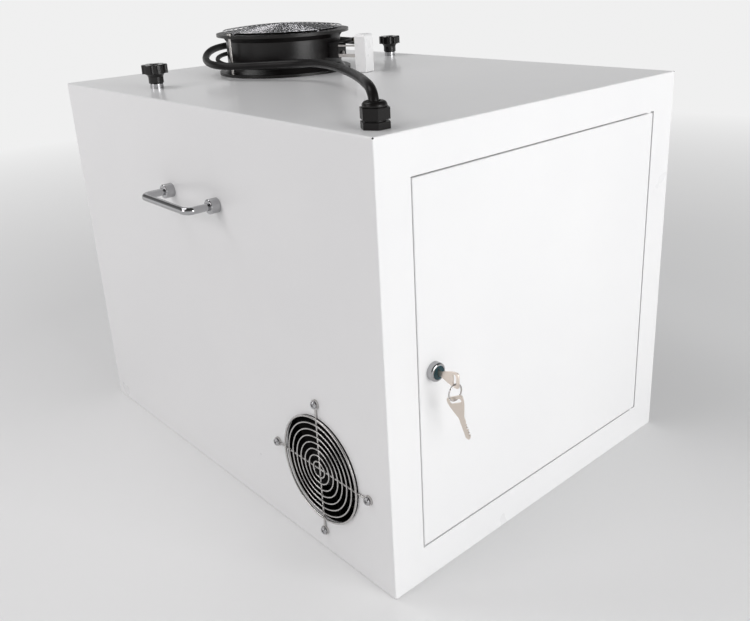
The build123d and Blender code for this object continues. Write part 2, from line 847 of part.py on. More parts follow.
with BuildPart() as side_fan_guard:
    # Rings, revolved together
    ring_offset = guard_spoke_radius + guard_wire_radius / 2
    with BuildSketch(
        Plane(
            origin=(left_x - guard_spoke_radius - ring_offset, side_fan_y, side_fan_z),
            x_dir=(0, 1, 0),
            z_dir=(0, 0, 1),
        )
    ):
        for number in range(guard_rings - 1):
            with Locations((guard_inner_ring + number * guard_ring_pitch, 0)):
                Circle(guard_wire_radius)
        with Locations((guard_inner_ring + (guard_rings - 1) * guard_ring_pitch, 0)):
            Circle(guard_outer_wire_radius)
    revolve(axis=Axis((left_x, side_fan_y, side_fan_z), (1, 0, 0)))
    # Two crossed spokes, each ending in an eye at a screw
    spoke_half = screw_circle - guard_eye_radius
    for direction in ((0, 1, 0), (0, 0, 1)):
        with BuildSketch(Plane(origin=guard_plane.origin, x_dir=(1, 0, 0), z_dir=direction)):
            Circle(guard_spoke_radius)
        extrude(amount=spoke_half, both=True)
    with BuildSketch(guard_plane):
        with PolarLocations(screw_circle, 4):
            Circle(guard_eye_radius + guard_spoke_radius)
            Circle(guard_eye_radius - guard_spoke_radius, mode=Mode.SUBTRACT)
    extrude(amount=guard_spoke_radius, both=True)
side_fan_guard.part.label = "side_fan_guard"
export_step(side_fan_guard.part, "parts/side_fan_guard.step")

with BuildPart() as guard_screws:
    with BuildSketch(port_plane.offset(-2 * guard_spoke_radius)):
        with PolarLocations(screw_circle, 4):
            Circle(guard_screw_head_radius)
    extrude(amount=-guard_screw_head_height)
    fillet(guard_screws.edges().group_by(Axis.X)[0], edge_radius)
    with BuildSketch(port_plane.offset(-2 * guard_spoke_radius)):
        with PolarLocations(screw_circle, 4):
            Circle(guard_screw_radius)
    extrude(amount=guard_screw_length)
guard_screws.part.label = "guard_screws"
export_step(guard_screws.part, "parts/guard_screws.step")

with BuildPart() as side_fan_frame:
    with BuildSketch(fan_plane):
        RectangleRounded(side_fan_size, side_fan_size, guard_screw_head_radius, rotation=45)
        Circle(side_fan_bore, mode=Mode.SUBTRACT)
    extrude(amount=side_fan_depth)
    # The motor's boss and its struts, on the inner face
    with BuildSketch(fan_plane.offset(side_fan_depth - side_fan_strut_depth)):
        with PolarLocations((side_fan_bore + side_fan_boss_radius) / 2, 4):
            Rectangle(side_fan_bore - side_fan_boss_radius + 2 * sheet, side_fan_strut_width)
        Circle(side_fan_boss_radius)
        Circle(side_fan_shaft_radius + running_gap, mode=Mode.SUBTRACT)
    extrude(amount=side_fan_strut_depth)
    with BuildSketch(fan_plane):
        with PolarLocations(screw_circle, 4):
            Circle(guard_screw_radius)
    extrude(amount=side_fan_depth, mode=Mode.SUBTRACT)
side_fan_frame.part.label = "side_fan_frame"
export_step(side_fan_frame.part, "parts/side_fan_frame.step")

with BuildPart() as side_fan_rotor:
    hub_depth = side_fan_depth - side_fan_strut_depth - 4 * small_gap
    with BuildSketch(fan_plane.offset(2 * small_gap)):
        Circle(side_fan_hub_radius)
    extrude(amount=hub_depth)
    fillet(side_fan_rotor.faces().sort_by(Axis.X)[0].edges(), edge_radius)
    blade_reach = side_fan_bore - side_fan_tip_gap - side_fan_hub_radius
    hub_middle = fan_plane.offset(2 * small_gap + hub_depth / 2)
    for number in range(side_fan_blades):
        root_plane = blade_root(hub_middle, number * 360 / side_fan_blades)
        with BuildSketch(root_plane.offset(side_fan_hub_radius - side_fan_blade_sheet)):
            Rectangle(side_fan_blade_chord, side_fan_blade_sheet, rotation=side_fan_blade_pitch)
        extrude(amount=blade_reach + side_fan_blade_sheet)
    with BuildSketch(fan_plane.offset(2 * small_gap + hub_depth)):
        Circle(side_fan_shaft_radius)
    extrude(amount=side_fan_strut_depth)
side_fan_rotor.part.label = "side_fan_rotor"
export_step(side_fan_rotor.part, "parts/side_fan_rotor.step")

# Bow handles: the left one and its mirror image on the right


def bow_handle(side):
    """A round bar bent to a bow that stands off one side of the cabinet."""
    face_x = side * cabinet_width / 2
    outer_x = face_x + side * (handle_standoff - handle_rod_radius)
    with BuildPart() as bow:
        with BuildLine():
            FilletPolyline(
                (face_x, -handle_spacing / 2, handle_z),
                (outer_x, -handle_spacing / 2, handle_z),
                (outer_x, handle_spacing / 2, handle_z),
                (face_x, handle_spacing / 2, handle_z),
                radius=handle_bend_radius,
            )
        with BuildSketch(Plane(origin=(face_x, -handle_spacing / 2, handle_z), z_dir=(side, 0, 0))):
            Circle(handle_rod_radius)
        sweep()
        with BuildSketch(Plane.YZ.offset(face_x)):
            with Locations((0, handle_z)):
                with GridLocations(handle_spacing, 0, 2, 1):
                    Circle(handle_screw_radius)
        extrude(amount=side * (handle_screw_length - sheet + small_gap), mode=Mode.SUBTRACT)
    return bow


handle_left = bow_handle(-1)
handle_left.part.label = "handle_left"
export_step(handle_left.part, "parts/handle_left.step")

handle_right = bow_handle(1)
handle_right.part.label = "handle_right"
export_step(handle_right.part, "parts/handle_right.step")

with BuildPart() as handle_ferrules:
    for side in (-1, 1):
        with BuildSketch(Plane.YZ.offset(side * cabinet_width / 2)):
            with Locations((0, handle_z)):
                with GridLocations(handle_spacing, 0, 2, 1):
                    Circle(ferrule_radius)
                    Circle(handle_rod_radius + running_gap, mode=Mode.SUBTRACT)
        extrude(amount=side * ferrule_height)
    fillet(handle_ferrules.edges().group_by(Axis.X)[0].sort_by(SortBy.LENGTH)[-2:], edge_radius)
    fillet(handle_ferrules.edges().group_by(Axis.X)[-1].sort_by(SortBy.LENGTH)[-2:], edge_radius)
handle_ferrules.part.label = "handle_ferrules"
export_step(handle_ferrules.part, "parts/handle_ferrules.step")

with BuildPart() as handle_screws:
    for side in (-1, 1):
        inner_x = side * (cabinet_width / 2 - sheet)
        with BuildSketch(Plane.YZ.offset(inner_x)):
            with Locations((0, handle_z)):
                with GridLocations(handle_spacing, 0, 2, 1):
                    Circle(handle_screw_head_radius)
        extrude(amount=-side * handle_screw_head_height)
        with BuildSketch(Plane.YZ.offset(inner_x)):
            with Locations((0, handle_z)):
                with GridLocations(handle_spacing, 0, 2, 1):
                    Circle(handle_screw_radius)
        extrude(amount=side * handle_screw_length)
handle_screws.part.label = "handle_screws"
export_step(handle_screws.part, "parts/handle_screws.step")

# Exhaust fan on the top: cast spool-shaped housing, rotor, wire guard and two tie bolts

head_axis = Axis((head_x, head_y, 0), (0, 0, 1))
head_section = Plane(origin=(head_x, head_y, top_z), x_dir=(1, 0, 0), z_dir=(0, -1, 0))
exhaust_base = Plane(origin=(head_x, head_y, top_z))
exhaust_bore = exhaust_waist_radius - exhaust_wall
pad_plane = exhaust_base.rotated((0, 0, capacitor_angle))

with BuildPart() as exhaust_fan_housing:
    with BuildSketch(head_section):
        with BuildLine():
            Polyline(
                (exhaust_bore, 0),
                (exhaust_radius, 0),
                (exhaust_radius, exhaust_flange),
                (exhaust_shoulder, exhaust_flange),
                (exhaust_waist_radius, exhaust_flange + exhaust_flare),
                (exhaust_waist_radius, exhaust_height - exhaust_flange - exhaust_flare),
                (exhaust_shoulder, exhaust_height - exhaust_flange),
                (exhaust_radius, exhaust_height - exhaust_flange),
                (exhaust_radius, exhaust_height),
                (exhaust_bore, exhaust_height),
                close=True,
            )
        make_face()
    revolve(axis=head_axis)
    # The pad that carries the capacitor's bracket
    with BuildSketch(pad_plane.offset((bracket_low + bracket_high - pad_height) / 2)):
        with Locations(((exhaust_bore + pad_reach) / 2, 0)):
            Rectangle(pad_reach - exhaust_bore, pad_width)
    extrude(amount=pad_height)
    with BuildSketch(exhaust_base):
        Circle(exhaust_bore)
    extrude(amount=exhaust_height, mode=Mode.SUBTRACT)
    # The motor's boss on its three struts
    with BuildSketch(exhaust_base):
        Circle(exhaust_boss_radius)
        with PolarLocations((exhaust_bore + exhaust_boss_radius) / 2, 3):
            Rectangle(exhaust_bore - exhaust_boss_radius + exhaust_wall, exhaust_strut_width)
    extrude(amount=exhaust_boss_height)
    # The boss that the fan's own lead comes out of
    lead_exit = exhaust_base.offset(lead_level).rotated((0, 0, lead_start_angle))
    with BuildSketch(Plane(origin=lead_exit.origin, z_dir=lead_exit.x_dir).offset(exhaust_bore)):
        Circle(lead_boss_radius)
    extrude(amount=lead_boss_reach - exhaust_bore)
    with BuildSketch(exhaust_base):
        Circle(exhaust_shaft_radius + running_gap)
        with PolarLocations(tie_bolt_circle, 2, start_angle=tie_bolt_angle):
            Circle(tie_bolt_radius + screw_gap)
    extrude(amount=exhaust_height, mode=Mode.SUBTRACT)
exhaust_fan_housing.part.label = "exhaust_fan_housing"
export_step(exhaust_fan_housing.part, "parts/exhaust_fan_housing.step")

with BuildPart() as exhaust_fan_rotor:
    hub_base = exhaust_base.offset(exhaust_boss_height + exhaust_hub_gap)
    with BuildSketch(hub_base):
        Circle(exhaust_hub_radius)
    extrude(amount=exhaust_hub_height)
    fillet(exhaust_fan_rotor.faces().sort_by(Axis.Z)[-1].edges(), bend_radius)
    exhaust_blade_reach = exhaust_bore - exhaust_tip_gap - exhaust_hub_radius
    exhaust_hub_middle = hub_base.offset(exhaust_hub_height / 2)
    for number in range(exhaust_blades):
        root_plane = blade_root(exhaust_hub_middle, number * 360 / exhaust_blades)
        with BuildSketch(root_plane.offset(exhaust_hub_radius - exhaust_blade_sheet)):
            Rectangle(exhaust_blade_chord, exhaust_blade_sheet, rotation=exhaust_blade_pitch)
        extrude(amount=exhaust_blade_reach + exhaust_blade_sheet)
    with BuildSketch(hub_base):
        Circle(exhaust_shaft_radius)
    extrude(amount=-exhaust_boss_height)
exhaust_fan_rotor.part.label = "exhaust_fan_rotor"
export_step(exhaust_fan_rotor.part, "parts/exhaust_fan_rotor.step")

guard_reach = exhaust_guard_inner + (exhaust_guard_rings - 1) * exhaust_guard_pitch
leg_base = exhaust_height + exhaust_leg_wire + running_gap

with BuildPart() as exhaust_fan_guard:
    # Rings on a low dome, revolved together
    with BuildSketch(head_section):
        for number in range(exhaust_guard_rings):
            reach = exhaust_guard_inner + number * exhaust_guard_pitch
            dome = exhaust_guard_rise * (1 - (reach / guard_reach) ** 2)
            with Locations((reach, leg_base + dome + exhaust_leg_wire + exhaust_guard_wire / 2)):
                Circle(exhaust_guard_wire)
    revolve(axis=head_axis)
    # Four legs under the rings, as two crossed arcs in line with the tie bolts
    for quarter in (0, 90):
        leg_angle = math.radians(tie_bolt_angle + quarter)
        leg_across = Vector(math.cos(leg_angle), math.sin(leg_angle), 0) * guard_reach
        leg_foot = Vector(head_x, head_y, top_z + leg_base)
        with BuildLine() as leg_path:
            ThreePointArc(
                leg_foot - leg_across,
                leg_foot + Vector(0, 0, exhaust_guard_rise),
                leg_foot + leg_across,
            )
        with BuildSketch(Plane(origin=leg_path.line @ 0, z_dir=leg_path.line % 0)):
            Circle(exhaust_leg_wire)
        sweep(path=leg_path.line)
exhaust_fan_guard.part.label = "exhaust_fan_guard"
export_step(exhaust_fan_guard.part, "parts/exhaust_fan_guard.step")

with BuildPart() as exhaust_tie_bolts:
    with BuildSketch(exhaust_base.offset(exhaust_height)):
        with PolarLocations(tie_bolt_circle, 2, start_angle=tie_bolt_angle):
            Circle(tie_head_radius)
    extrude(amount=tie_head_height)
    with BuildSketch(exhaust_base.offset(exhaust_height)):
        with PolarLocations(tie_bolt_circle, 2, start_angle=tie_bolt_angle):
            Circle(tie_bolt_radius)
    extrude(amount=-(exhaust_height + sheet + tie_nut_height + running_gap))
    with BuildSketch(exhaust_base.offset(-sheet)):
        with PolarLocations(tie_bolt_circle, 2, start_angle=tie_bolt_angle):
            RegularPolygon(tie_nut_across / 2, 6, major_radius=False)
    extrude(amount=-tie_nut_height)
exhaust_tie_bolts.part.label = "exhaust_tie_bolts"
export_step(exhaust_tie_bolts.part, "parts/exhaust_tie_bolts.step")

capacitor_near = capacitor_distance - capacitor_thickness / 2

with BuildPart() as capacitor_bracket:
    for level, bar_height in ((bracket_low, bracket_low_height), (bracket_high, bracket_high_height)):
        with BuildSketch(pad_plane.offset(level - bar_height / 2)):
            with Locations(((pad_reach + capacitor_near) / 2, -(pad_width - bracket_sheet) / 2)):
                Rectangle(capacitor_near - pad_reach, bracket_sheet)
        extrude(amount=bar_height)
capacitor_bracket.part.label = "capacitor_bracket"
export_step(capacitor_bracket.part, "parts/capacitor_bracket.step")

with BuildPart() as run_capacitor:
    with BuildSketch(pad_plane.offset(capacitor_foot)):
        with Locations((capacitor_distance, 0)):
            Rectangle(capacitor_thickness, capacitor_width)
    extrude(amount=capacitor_height)
    fillet(run_capacitor.faces().sort_by(Axis.Z)[-1].edges(), capacitor_round)
run_capacitor.part.label = "run_capacitor"
export_step(run_capacitor.part, "parts/run_capacitor.step")

with BuildPart() as terminal_screws:
    screw_face = Plane(
        origin=pad_plane.from_local_coords((capacitor_near, 0, 0)),
        x_dir=-pad_plane.y_dir,
        z_dir=-pad_plane.x_dir,
    )
    with BuildSketch(screw_face):
        with Locations((0, terminal_level_low), (0, terminal_level_high)):
            Circle(terminal_radius)
    extrude(amount=terminal_height)
    # The screw that holds the bars to the pad
    pad_face = Plane(
        origin=pad_plane.from_local_coords((pad_reach, 0, 0)),
        x_dir=pad_plane.y_dir,
        z_dir=pad_plane.x_dir,
    )
    with BuildSketch(pad_face):
        with Locations((0, fixing_screw_level)):
            Circle(fixing_screw_radius)
    extrude(amount=fixing_screw_height)
terminal_screws.part.label = "terminal_screws"
export_step(terminal_screws.part, "parts/terminal_screws.step")

# Star knobs, each moulded on its threaded stud, and the collars that they turn on

with BuildPart() as knob_collars:
    with BuildSketch(exhaust_base):
        with GridLocations(stud_spacing, 0, 2, 1):
            Circle(collar_radius)
            Circle(stud_radius + screw_gap, mode=Mode.SUBTRACT)
    extrude(amount=collar_height)
    fillet(knob_collars.edges().group_by(Axis.Z)[-1].sort_by(SortBy.LENGTH)[-2:], edge_radius)
knob_collars.part.label = "knob_collars"
export_step(knob_collars.part, "parts/knob_collars.step")


def star_knob(side):
    """A six-lobed knob on a neck, with its stud as a second solid."""
    stud_x = head_x + side * stud_spacing / 2
    neck_base = Plane(origin=(stud_x, head_y, top_z + collar_height + running_gap))
    with BuildPart() as knob:
        with BuildSketch(neck_base.offset(knob_neck_height)):
            Circle(knob_head_radius)
            with PolarLocations(knob_scallop_centre, knob_lobes):
                Circle(knob_scallop_radius, mode=Mode.SUBTRACT)
        extrude(amount=knob_head_height)
        fillet(knob.faces().sort_by(Axis.Z)[-1].edges(), edge_radius)
        with BuildSketch(neck_base):
            Circle(knob_neck_radius)
        extrude(amount=knob_neck_height)
        with BuildSketch(neck_base):
            Circle(stud_radius)
        extrude(amount=stud_in_knob, mode=Mode.SUBTRACT)
    with BuildPart() as stud:
        with BuildSketch(neck_base.offset(stud_in_knob)):
            Circle(stud_radius)
        extrude(amount=-stud_length)
        with BuildSketch(Plane(origin=(stud_x, head_y, inner_top_z - running_gap))):
            Circle(stud_clip_radius)
        extrude(amount=-stud_clip_sheet)
    return Compound(children=[knob.part, stud.part])


star_knob_left = star_knob(-1)
star_knob_left.label = "star_knob_left"
export_step(star_knob_left, "parts/star_knob_left.step")

star_knob_right = star_knob(1)
star_knob_right.label = "star_knob_right"
export_step(star_knob_right, "parts/star_knob_right.step")

# Lamp head: carrier bar, reflector hood, lamp and its two holders

carrier_top_z = inner_top_z - carrier_drop
hood_top_z = carrier_top_z - carrier_sheet - carrier_flange
lamp_z = hood_top_z - lamp_drop

with BuildPart() as lamp_carrier:
    with BuildSketch(Plane(origin=(head_x, head_y, carrier_top_z))):
        Rectangle(stud_spacing + 2 * carrier_overhang, carrier_width)
    extrude(amount=-carrier_sheet)
    with BuildSketch(Plane(origin=(head_x, head_y, carrier_top_z - carrier_sheet))):
        with GridLocations(0, carrier_width - carrier_sheet, 1, 2):
            Rectangle(stud_spacing + 2 * carrier_overhang, carrier_sheet)
    extrude(amount=-carrier_flange)
    with BuildSketch(Plane(origin=(head_x, head_y, carrier_top_z - carrier_sheet))):
        with GridLocations(stud_spacing, 0, 2, 1):
            Circle(carrier_boss_radius)
    extrude(amount=-carrier_boss_height)
    with BuildSketch(Plane(origin=(head_x, head_y, carrier_top_z))):
        with GridLocations(stud_spacing, 0, 2, 1):
            Circle(stud_radius + running_gap)
    extrude(amount=-carrier_flange, mode=Mode.SUBTRACT)
lamp_carrier.part.label = "lamp_carrier"
export_step(lamp_carrier.part, "parts/lamp_carrier.step")

hood_end = Plane(origin=(head_x - hood_length / 2, head_y, hood_top_z), x_dir=(0, 1, 0), z_dir=(1, 0, 0))

with BuildPart() as reflector_hood:
    with BuildSketch(hood_end):
        with BuildLine():
            Polyline(
                (-hood_top_width / 2, 0),
                (hood_top_width / 2, 0),
                (hood_mouth_width / 2, -hood_height),
                (-hood_mouth_width / 2, -hood_height),
                close=True,
            )
        make_face()
    extrude(amount=hood_length)
    offset(amount=-hood_sheet, openings=reflector_hood.faces().sort_by(Axis.Z)[0])
reflector_hood.part.label = "reflector_hood"
export_step(reflector_hood.part, "parts/reflector_hood.step")

lamp_length = hood_length - 2 * hood_sheet - 2 * small_gap
lamp_start = Plane(origin=(head_x - lamp_length / 2, head_y, lamp_z), z_dir=(1, 0, 0))

with BuildPart() as uv_tube:
    with BuildSketch(lamp_start.offset(lamp_cap_length)):
        Circle(lamp_radius)
        Circle(lamp_bore_radius, mode=Mode.SUBTRACT)
    extrude(amount=lamp_length - 2 * lamp_cap_length)

with BuildPart() as lamp_caps:
    with BuildSketch(lamp_start, lamp_start.offset(lamp_length - lamp_cap_length)):
        Circle(lamp_cap_radius)
    extrude(amount=lamp_cap_length)

uv_lamp = Compound(children=[uv_tube.part, lamp_caps.part])
uv_lamp.label = "uv_lamp"
export_step(uv_lamp, "parts/uv_lamp.step")

with BuildPart() as lamp_holders:
    for side in (-1, 1):
        holder_x = head_x + side * (hood_length / 2 - hood_sheet)
        with BuildSketch(Plane(origin=(holder_x, head_y, lamp_z), x_dir=(0, 1, 0), z_dir=(side, 0, 0))):
            Rectangle(holder_width, holder_height)
            Circle(lamp_cap_radius + running_gap, mode=Mode.SUBTRACT)
        extrude(amount=-holder_thickness)
lamp_holders.part.label = "lamp_holders"
export_step(lamp_holders.part, "parts/lamp_holders.step")

# Turntable on its geared motor

floor_z = liner_floor_height
disc_base_z = floor_z + turntable_height
turntable_centre = Plane(origin=(0, turntable_y, disc_base_z))
turntable_pocket = disc_base_z - floor_z - small_gap

with BuildPart() as turntable:
    with BuildSketch(turntable_centre):
        Circle(turntable_radius)
    extrude(amount=turntable_thickness)
    with BuildSketch(turntable_centre.offset(turntable_thickness)):
        Circle(turntable_radius)
        Circle(turntable_radius - turntable_rim, mode=Mode.SUBTRACT)
    extrude(amount=turntable_rim)
    with BuildSketch(turntable_centre):
        Circle(turntable_hub_radius)
    extrude(amount=-turntable_pocket)
    with BuildSketch(turntable_centre.offset(-turntable_pocket)):
        Circle(turntable_shaft_radius)
    extrude(amount=turntable_pocket, mode=Mode.SUBTRACT)
turntable.part.label = "turntable"
export_step(turntable.part, "parts/turntable.step")

with BuildPart() as turntable_shaft:
    with BuildSketch(turntable_centre):
        Circle(turntable_shaft_radius)
    extrude(amount=-(disc_base_z - liner_outer_floor_z + motor_shaft_depth - small_gap))
turntable_shaft.part.label = "turntable_shaft"
export_step(turntable_shaft.part, "parts/turntable_shaft.step")

with BuildPart() as turntable_motor:
    with BuildSketch(Plane(origin=(0, turntable_y, liner_outer_floor_z))):
        Circle(motor_radius)
    extrude(amount=-motor_height)
    with BuildSketch(Plane(origin=(0, turntable_y, liner_outer_floor_z))):
        SlotOverall(2 * motor_radius + 4 * motor_ear_radius, 2 * motor_ear_radius)
    extrude(amount=-sheet)
    with BuildSketch(Plane(origin=(0, turntable_y, liner_outer_floor_z))):
        Circle(turntable_shaft_radius + running_gap)
    extrude(amount=-motor_shaft_depth, mode=Mode.SUBTRACT)
turntable_motor.part.label = "turntable_motor"
export_step(turntable_motor.part, "parts/turntable_motor.step")

# Cable gland

gland_base = Plane(origin=(gland_x, gland_y, top_z))
gland_bore = cable_radius + running_gap
gland_nut_base = gland_hex_height + gland_neck_height
gland_top = gland_nut_base + gland_nut_height + gland_dome_height

with BuildPart() as gland_body:
    with BuildSketch(gland_base):
        RegularPolygon(gland_across / 2, 6, major_radius=False)
    extrude(amount=gland_hex_height)
    with BuildSketch(gland_base):
        Circle(gland_neck_radius)
    extrude(amount=gland_nut_base)
    with BuildSketch(gland_base):
        Circle(gland_thread_radius)
    extrude(amount=-gland_thread_length)
    with BuildSketch(gland_base.offset(gland_nut_base)):
        Circle(gland_bore)
    extrude(amount=-gland_nut_base - gland_thread_length, mode=Mode.SUBTRACT)
gland_body.part.label = "gland_body"
export_step(gland_body.part, "parts/gland_body.step")

with BuildPart() as gland_nut:
    with BuildSketch(gland_base.offset(gland_nut_base)):
        RegularPolygon(gland_across / 2, 6, major_radius=False)
    extrude(amount=gland_nut_height)
    with BuildSketch(
        Plane(
            origin=(gland_x, gland_y, top_z + gland_nut_base + gland_nut_height),
            x_dir=(1, 0, 0),
            z_dir=(0, -1, 0),
        )
    ):
        with BuildLine():
            Polyline(
                (gland_shoulder_radius, 0),
                (0, 0),
                (0, gland_dome_height),
                (gland_dome_radius, gland_dome_height),
            )
            RadiusArc(
                (gland_dome_radius, gland_dome_height),
                (gland_shoulder_radius, 0),
                gland_dome_round,
            )
        make_face()
    revolve(axis=Axis((gland_x, gland_y, 0), (0, 0, 1)))
    with BuildSketch(gland_base.offset(gland_top)):
        Circle(gland_bore)
    extrude(amount=-gland_top, mode=Mode.SUBTRACT)
    with BuildSketch(gland_base.offset(gland_top)):
        Circle(gland_mouth_radius)
    extrude(amount=-gland_mouth_depth, taper=gland_mouth_taper, mode=Mode.SUBTRACT)
gland_nut.part.label = "gland_nut"
export_step(gland_nut.part, "parts/gland_nut.step")

with BuildPart() as gland_locknut:
    with BuildSketch(gland_base.offset(-sheet)):
        RegularPolygon(gland_across / 2, 6, major_radius=False)
        Circle(gland_thread_radius, mode=Mode.SUBTRACT)
    extrude(amount=-gland_locknut_height)
gland_locknut.part.label = "gland_locknut"
export_step(gland_locknut.part, "parts/gland_locknut.step")

# Electrical bay: ballast and terminal block on the back of the chamber, inlet and switch in the rear panel

bay_y = liner_rear_y + liner_sheet
bay_plane = Plane(origin=(0, bay_y, 0), x_dir=(-1, 0, 0), z_dir=(0, 1, 0))

with BuildPart() as lamp_ballast:
    with BuildSketch(bay_plane):
        with Locations((-ballast_x, ballast_z)):
            Rectangle(ballast_length, ballast_height)
    extrude(amount=ballast_depth)
    fillet(lamp_ballast.edges().filter_by(Axis.Y), bend_radius)
    with BuildSketch(bay_plane):
        with Locations((-ballast_x, ballast_z)):
            Rectangle(ballast_length + 2 * ballast_foot, ballast_height)
    extrude(amount=ballast_foot_sheet)
lamp_ballast.part.label = "lamp_ballast"
export_step(lamp_ballast.part, "parts/lamp_ballast.step")

with BuildPart() as terminal_block:
    with BuildSketch(bay_plane):
        with Locations((-terminal_block_x, terminal_block_z)):
            Rectangle(terminal_block_length, terminal_block_height)
    extrude(amount=terminal_block_depth)
    with BuildSketch(bay_plane.offset(terminal_block_depth)):
        with Locations((-terminal_block_x, terminal_block_z)):
            with GridLocations(
                terminal_block_length / terminal_block_ways,
                terminal_block_height / 2,
                terminal_block_ways,
                2,
            ):
                Rectangle(terminal_well_width, terminal_well_height)
    extrude(amount=-terminal_well_depth, mode=Mode.SUBTRACT)
terminal_block.part.label = "terminal_block"
export_step(terminal_block.part, "parts/terminal_block.step")

rear_plane = Plane(origin=(0, rear_y, 0), x_dir=(-1, 0, 0), z_dir=(0, 1, 0))

with BuildPart() as mains_inlet:
    with BuildSketch(rear_plane):
        with Locations((-inlet_x, inlet_z)):
            RectangleRounded(inlet_flange_width, inlet_flange_height, bend_radius)
    extrude(amount=inlet_flange_sheet)
    with BuildSketch(rear_plane):
        with Locations((-inlet_x, inlet_z)):
            Rectangle(inlet_width, inlet_height)
    extrude(amount=-inlet_depth)
    with BuildSketch(rear_plane.offset(inlet_flange_sheet)):
        with Locations((-inlet_x, inlet_z)):
            Rectangle(inlet_width - 2 * inlet_wall, inlet_height - 2 * inlet_wall)
    extrude(amount=-(inlet_flange_sheet + inlet_depth - inlet_wall), mode=Mode.SUBTRACT)
    with BuildSketch(rear_plane.offset(-inlet_depth)):
        with Locations((-inlet_x, inlet_z)):
            with Locations(
                (0, -inlet_wall),
                (-inlet_pin_spacing, inlet_wall),
                (inlet_pin_spacing, inlet_wall),
            ):
                Rectangle(inlet_pin_width, inlet_pin_height)
    extrude(amount=inlet_depth - inlet_wall)
mains_inlet.part.label = "mains_inlet"
export_step(mains_inlet.part, "parts/mains_inlet.step")

rocker_plane = Plane(
    origin=(switch_x, rear_y - rocker_setback, switch_z),
    x_dir=(0, 1, 0),
    z_dir=(1, 0, 0),
)
rocker_half_width = switch_width / 2 - switch_wall - cut_out_gap
rocker_half_height = switch_height / 2 - switch_wall - rocker_end_gap

with BuildPart() as switch_housing:
    with BuildSketch(rear_plane):
        with Locations((-switch_x, switch_z)):
            Rectangle(switch_width + 2 * switch_rim, switch_height + 2 * switch_rim)
    extrude(amount=switch_rim_height)
    with BuildSketch(rear_plane):
        with Locations((-switch_x, switch_z)):
            Rectangle(switch_width, switch_height)
    extrude(amount=-switch_depth)
    with BuildSketch(rear_plane.offset(switch_rim_height)):
        with Locations((-switch_x, switch_z)):
            Rectangle(switch_width - 2 * switch_wall, switch_height - 2 * switch_wall)
    extrude(amount=-(switch_rim_height + rocker_well), mode=Mode.SUBTRACT)
    with BuildSketch(rocker_plane):
        Circle(rocker_pin_radius + running_gap)
    extrude(amount=switch_width / 2 - switch_wall / 2, both=True, mode=Mode.SUBTRACT)
switch_housing.part.label = "switch_housing"
export_step(switch_housing.part, "parts/switch_housing.step")

with BuildPart() as switch_rocker:
    tilt = math.radians(rocker_tilt)
    with BuildSketch(
        Plane(origin=rocker_plane.origin, x_dir=(0, math.cos(tilt), -math.sin(tilt)), z_dir=(1, 0, 0))
    ):
        with BuildLine():
            Polyline(
                (-rocker_depth / 2, -rocker_half_height),
                (rocker_depth / 2, -rocker_half_height),
                (rocker_rise, 0),
                (rocker_depth / 2, rocker_half_height),
                (-rocker_depth / 2, rocker_half_height),
                close=True,
            )
        make_face()
    extrude(amount=rocker_half_width, both=True)
    with BuildSketch(rocker_plane):
        Circle(rocker_pin_radius)
    extrude(amount=switch_width / 2 - switch_wall / 2 - running_gap, both=True)
switch_rocker.part.label = "switch_rocker"
export_step(switch_rocker.part, "parts/switch_rocker.step")

# Magnetic door interlock: sensor above the door opening, magnet inside the door's top edge

sensor_y = front_y + sheet + sensor_inset

with BuildPart() as interlock_sensor:
    with BuildSketch(Plane(origin=(sensor_x, sensor_y, mid_z + opening_height / 2 + sheet))):
        Rectangle(sensor_length, sensor_width, align=(Align.CENTER, Align.MIN))
    extrude(amount=sensor_height)
interlock_sensor.part.label = "interlock_sensor"
export_step(interlock_sensor.part, "parts/interlock_sensor.step")

with BuildPart() as interlock_magnet:
    with BuildSketch(Plane(origin=(sensor_x, sensor_y, mid_z + door_height / 2 - sheet))):
        Rectangle(magnet_length, magnet_width, align=(Align.CENTER, Align.MIN))
    extrude(amount=-magnet_height)
interlock_magnet.part.label = "interlock_magnet"
export_step(interlock_magnet.part, "parts/interlock_magnet.step")

# Fan cable and the fan's own lead. Each is straight runs joined by tangent arcs. The cable ends
# on the capacitor's far side and the lead on its near side, above the terminal screws.


def cord_tube(points, radius, name):
    """A tube along the points, whose arcs are as large as their two runs allow."""
    corners = [Vector(*point) for point in points]
    radii = []
    for before, corner, after in zip(corners, corners[1:], corners[2:]):
        half_turn = math.radians((corner - before).get_angle(after - corner)) / 2
        shorter = min((corner - before).length, (after - corner).length)
        radii.append(0.45 * shorter / math.tan(half_turn))
    with BuildPart() as tube:
        with BuildLine() as line:
            FilletPolyline(*corners, radius=radii)
        path = line.wires()[0]
        with BuildSketch(Plane(origin=path @ 0, z_dir=path % 0)):
            Circle(radius)
        sweep(path=path)
    print(name, "radii", [round(value, 1) for value in radii])
    print(name, "length", round(path.length, 1))
    print(name, "volume over section times length", tube.part.volume / (math.pi * radius**2 * path.length))
    return tube


cable_end = pad_plane.from_local_coords(
    (capacitor_distance, capacitor_width / 2, capacitor_foot + cable_end_level)
)
cable_last_corner = cable_end + pad_plane.y_dir * cable_last_run

